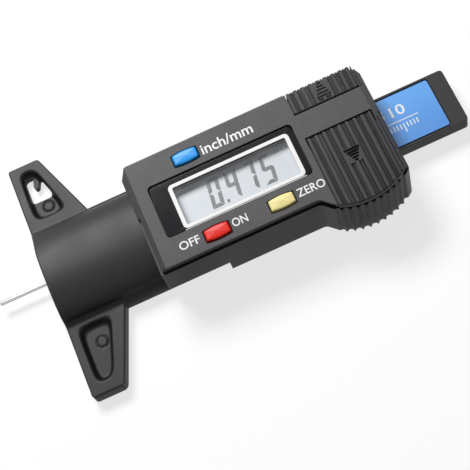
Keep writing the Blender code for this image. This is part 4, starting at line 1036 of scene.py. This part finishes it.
GROOVE_WIDTH = 0.40
BATTERY_GROOVE = 0.42
PORT_GROOVE = 0.22
TONGUE_TOP = 14.1
RIM_STEPS = np.array([0, 0.02, 0.06, 0.12, 0.2, 0.3])
RIB_COUNT = 8
RIB_PITCH = 1.8
THIN_RIB_HALF = 0.3
REST_CENTRE = (71.6, -2.95)
REST_RADIUS = 16.0


def grooves(x, start, width):
    """0 to 1: two grooves round each thin rib"""
    first = start + (width - RIB_COUNT * RIB_PITCH) / 2 + RIB_PITCH / 2
    sunk = np.zeros_like(x)
    for i in range(RIB_COUNT):
        for side in (-THIN_RIB_HALF, THIN_RIB_HALF):
            away = np.abs(x - first - RIB_PITCH * i - side)
            sunk = np.maximum(sunk, smooth(away, GROOVE_WIDTH / 2 + 0.02, GROOVE_WIDTH / 2 - 0.07))
    return sunk


def arrow(x, y, middle, levels, widths):
    """0 to 1: level bars of the given widths that make an arrowhead"""
    sunk = np.zeros_like(x)
    for level, width in zip(levels, widths):
        across = smooth(np.abs(x - middle), width / 2 + 0.08, width / 2 - 0.04)
        sunk = np.maximum(sunk, smooth(np.abs(y - level), 0.24, 0.12) * across)
    return sunk


def edge_drop(depth, radius):
    """Fall of a quarter circle from the face to the wall"""
    depth = np.clip(depth, 0, radius)
    return radius - np.sqrt(radius ** 2 - (radius - depth) ** 2)


def near_ends(length, step, ends=RIM_STEPS):
    """Stations from 0 to length: the given ones at both ends, even steps in between"""
    inner = np.arange(0.3 + step, length - 0.3, step)
    return np.concatenate([ends, inner, length - ends[::-1]])


def battery_door():
    """Height over (x, y): the face less grooves, arrow and rounded edges; the free end follows the rest"""
    left, width, top = 64.9, 15.1, -0.1
    columns = left + near_ends(width, 0.07)
    end = REST_CENTRE[1] - np.sqrt(REST_RADIUS ** 2 - (columns - REST_CENTRE[0]) ** 2)
    shares = near_ends(1.0, 0.0088, RIM_STEPS / 17.0)
    x = np.broadcast_to(columns, (len(shares), len(columns)))
    y = top + (end - top)[None, :] * shares[:, None]
    depth = np.minimum(np.minimum(x - left, left + width - x), np.minimum(top - y, y - end[None, :]))
    middle = left + width / 2
    quiet = (np.abs(x - middle) < 1.75) * smooth(np.abs(y + 8.1), 1.95, 1.8)
    head = arrow(x, y, middle + 0.2, (-6.7, -7.4, -8.1, -8.8, -9.45), (3.5, 2.8, 2.1, 1.4, 0.7))
    sunk = np.maximum(grooves(x, left, width) * (1 - quiet), head)
    height = FACE_TOP - BATTERY_GROOVE * sunk * smooth(depth, 0.0, 0.1) - edge_drop(depth, 0.25)
    rows, count = x.shape
    upper = np.stack([x, y, height], axis=-1).reshape(-1, 3)
    lower = np.stack([x, y, np.full_like(x, DOOR_SEAT)], axis=-1).reshape(-1, 3)
    index = np.arange(rows * count).reshape(rows, count)
    rim = np.concatenate([index[0], index[1:, -1], index[-1, -2::-1], index[-2:0:-1, 0]])
    ahead = np.roll(rim, -1)
    walls = np.stack([rim, ahead, ahead + rows * count, rim + rows * count], axis=1)
    faces = [grid(rows, count).tolist(), grid(rows, count, rows * count)[:, ::-1].tolist(), walls.tolist()]
    plate = new_piece("door", np.concatenate([upper, lower]), sum(faces, []))
    plate = tidy(marked(plate, np.concatenate([sunk.ravel(), np.zeros(sunk.size)])), 50)
    tongues = [
        block("tongue", (64.3, 64.9), (-17.0, -2.7), (DOOR_SEAT, TONGUE_TOP)),
        block("tongue", (80.0, 80.6), (-15.5, -2.7), (DOOR_SEAT, TONGUE_TOP))]
    door = merged("battery_door", [plate, *tongues])
    dress(door, "battery_door", "battery_cover", DOOR_BLACK, "battery_cover")


def port_door():
    """Section in (y, z) swept along x; its outer side sinks by the grooves and the arrow"""
    left, width, start, wall = 65.1, 15.0, 6.5, 12.4
    columns = left + near_ends(width, 0.07)
    radius = 1.0
    angles = np.radians(np.linspace(90, 0, 9))
    flat = np.linspace(start, wall - radius, 50)
    down = np.linspace(FACE_TOP - radius, COVER_UNDERSIDE, 6)[1:]
    outer_y = np.concatenate([flat, wall - radius + radius * np.cos(angles[1:]), np.full(len(down), wall)])
    outer_z = np.concatenate([
        np.full(len(flat), FACE_TOP), FACE_TOP - radius + radius * np.sin(angles[1:]), down])
    turn = np.concatenate([np.full(len(flat), math.pi / 2), angles[1:], np.zeros(len(down))])
    inner = np.array([(11.5, COVER_UNDERSIDE), (11.5, DOOR_SEAT), (start, DOOR_SEAT)])
    x, y = np.meshgrid(columns, outer_y, indexing="ij")
    middle = left + width / 2 + 0.1
    quiet = (np.abs(x - middle + 0.1) < 1.75) * smooth(y, 7.3, 7.5) * smooth(y, 11.9, 11.6)
    head = arrow(x, y, middle, (7.8, 8.65, 9.5, 10.35, 11.1), (3.2, 2.6, 2.0, 1.4, 0.8))
    ends = np.minimum(x - left, left + width - x)
    shaded = np.maximum(grooves(x, left, width) * (1 - quiet), head)
    rounding = edge_drop(np.minimum(ends, np.clip(y - start, 0, 9)), 0.22)
    sunk = shaded * PORT_GROOVE * smooth(ends, 0.0, 0.1) + rounding
    points = np.stack([x, y - sunk * np.cos(turn), outer_z - sunk * np.sin(turn)], axis=-1)
    inside = np.stack([
        np.repeat(columns, len(inner)).reshape(-1, len(inner)),
        np.broadcast_to(inner[:, 0], (len(columns), len(inner))),
        np.broadcast_to(inner[:, 1], (len(columns), len(inner)))], axis=-1)
    plate = loft("door", np.concatenate([points, inside], axis=1))
    plate = tidy(marked(plate, np.concatenate([shaded, np.zeros((len(columns), len(inner)))], axis=1)), 50)
    tongues = [
        block("tongue", (64.5, 65.1), (7.1, 10.4), (DOOR_SEAT, TONGUE_TOP)),
        block("tongue", (80.1, 80.7), (7.1, 10.4), (DOOR_SEAT, TONGUE_TOP))]
    dress(merged("port_door", [plate, *tongues]), "port_door", "port_cover", DOOR_BLACK, "port_cover")


# Slide

def beam_piece():
    dress(moulded("beam", 0.2, 3), "slide", "beam", BEAM_BLACK, "beam")


def label_print():
    """Line, ticks and plain numbers on the label"""
    height, depth = LABEL_TOP + 0.005, 0.025
    marks = [block("mark", (71.9, 90.6), (-0.55, -0.33), (height, height + depth))]
    for i in range(20):
        x = 74.6 + 0.8 * i
        reach = 2.3 if i % 5 == 0 else 1.3
        marks.append(block("mark", (x - 0.13, x + 0.13), (-1.3 - reach, -1.3), (height, height + depth)))
    dress(merged("label_marks", marks), "slide", "beam_label", LABEL_WHITE)
    for name, text, x in (
            ("label_0", "0", (77.7, 79.5)), ("label_5", "5", (81.8, 83.5)), ("label_10", "10", (85.0, 88.4))):
        item = words(name, text, x, (0.9, 3.5), height, depth, 0.01)
        dress(item, "slide", "beam_label", LABEL_WHITE)


def pin_piece():
    """Turned pin: a cylinder whose tip is rounded over"""
    radius, height, tip, end, rounding, chamfer, sides = 0.55, 2.6, -12.065, 21.135, 0.4, 0.15, 40
    angles = np.radians(np.linspace(12, 90, 7))
    stations = [
        (tip + rounding * (1 - math.sin(a)), radius - rounding + rounding * math.cos(a))
        for a in angles[::-1]]
    stations += [(end - chamfer, radius), (end, radius - chamfer)]
    turn = np.linspace(0, 2 * math.pi, sides, endpoint=False)
    rings = [
        np.column_stack([np.full(sides, x), r * np.cos(turn), height + r * np.sin(turn)])
        for x, r in stations]
    dress(tidy(loft("pin", rings), 50), "slide", "measuring_pin", PIN_STEEL, "measuring_pin")


# Back

def back_pieces():
    """Back plate, and the screws with their cross recesses"""
    dress(moulded("back_plate", 0.1, 2), "housing", "back_plate", PLATE_BLACK, "back_plate")
    for kind in ("case_screw", "plate_screw"):
        for i in range(1, 5):
            node = f"{kind}_{i}"
            low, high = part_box(node)
            x = ((low.x + high.x) / 2 - FACE_X) / MM
            y = (low.y + high.y) / 2 / MM
            item = moulded(node, 0.04, 2)
            arms = [
                block("arm", (x - across, x + across), (y - along, y + along), (-0.5, 0.4))
                for across, along in ((0.75, 0.14), (0.14, 0.75))]
            item = tidy(cut(item, arms), 30)
            dress(item, "housing", "screws", SCREW_STEEL, node)


camera()
floor()
world()
lights()
base_piece()
case_piece()
cover_piece()
window()
display()
face_words()
button("unit_button", (39.46, 8.15), BUTTON_BLUE)
button("power_button", (39.229, -11.5), BUTTON_RED)
button("zero_button", (54.35, -11.4), BUTTON_YELLOW)
battery_door()
port_door()
beam_piece()
label_print()
pin_piece()
back_pieces()

for paint, *nodes in (
        (LCD_GREY, "lcd_glass"), (LABEL_BLUE, "beam_label"), (BOARD_GREEN, "main_board"),
        (CHIP_BLACK, "chip_cap"), (ZEBRA_PINK, "zebra_strip_upper", "zebra_strip_lower"),
        (DOME_STEEL, "unit_dome", "power_dome", "zero_dome"), (CELL_STEEL, "battery_cell"),
        (CONTACT_STEEL, "battery_contact_negative", "battery_contact_positive"),
        (PAD_GOLD, "port_pad_1", "port_pad_2", "port_pad_3", "port_pad_4"),
        (SPRING_BRONZE, "leaf_spring"), (STRIP_COPPER, "scale_strip")):
    for node in nodes:
        slots = frame["nodes"][node].data.materials
        slots.clear()
        slots.append(paint.material)

bpy.context.scene.view_settings.view_transform = "Standard"
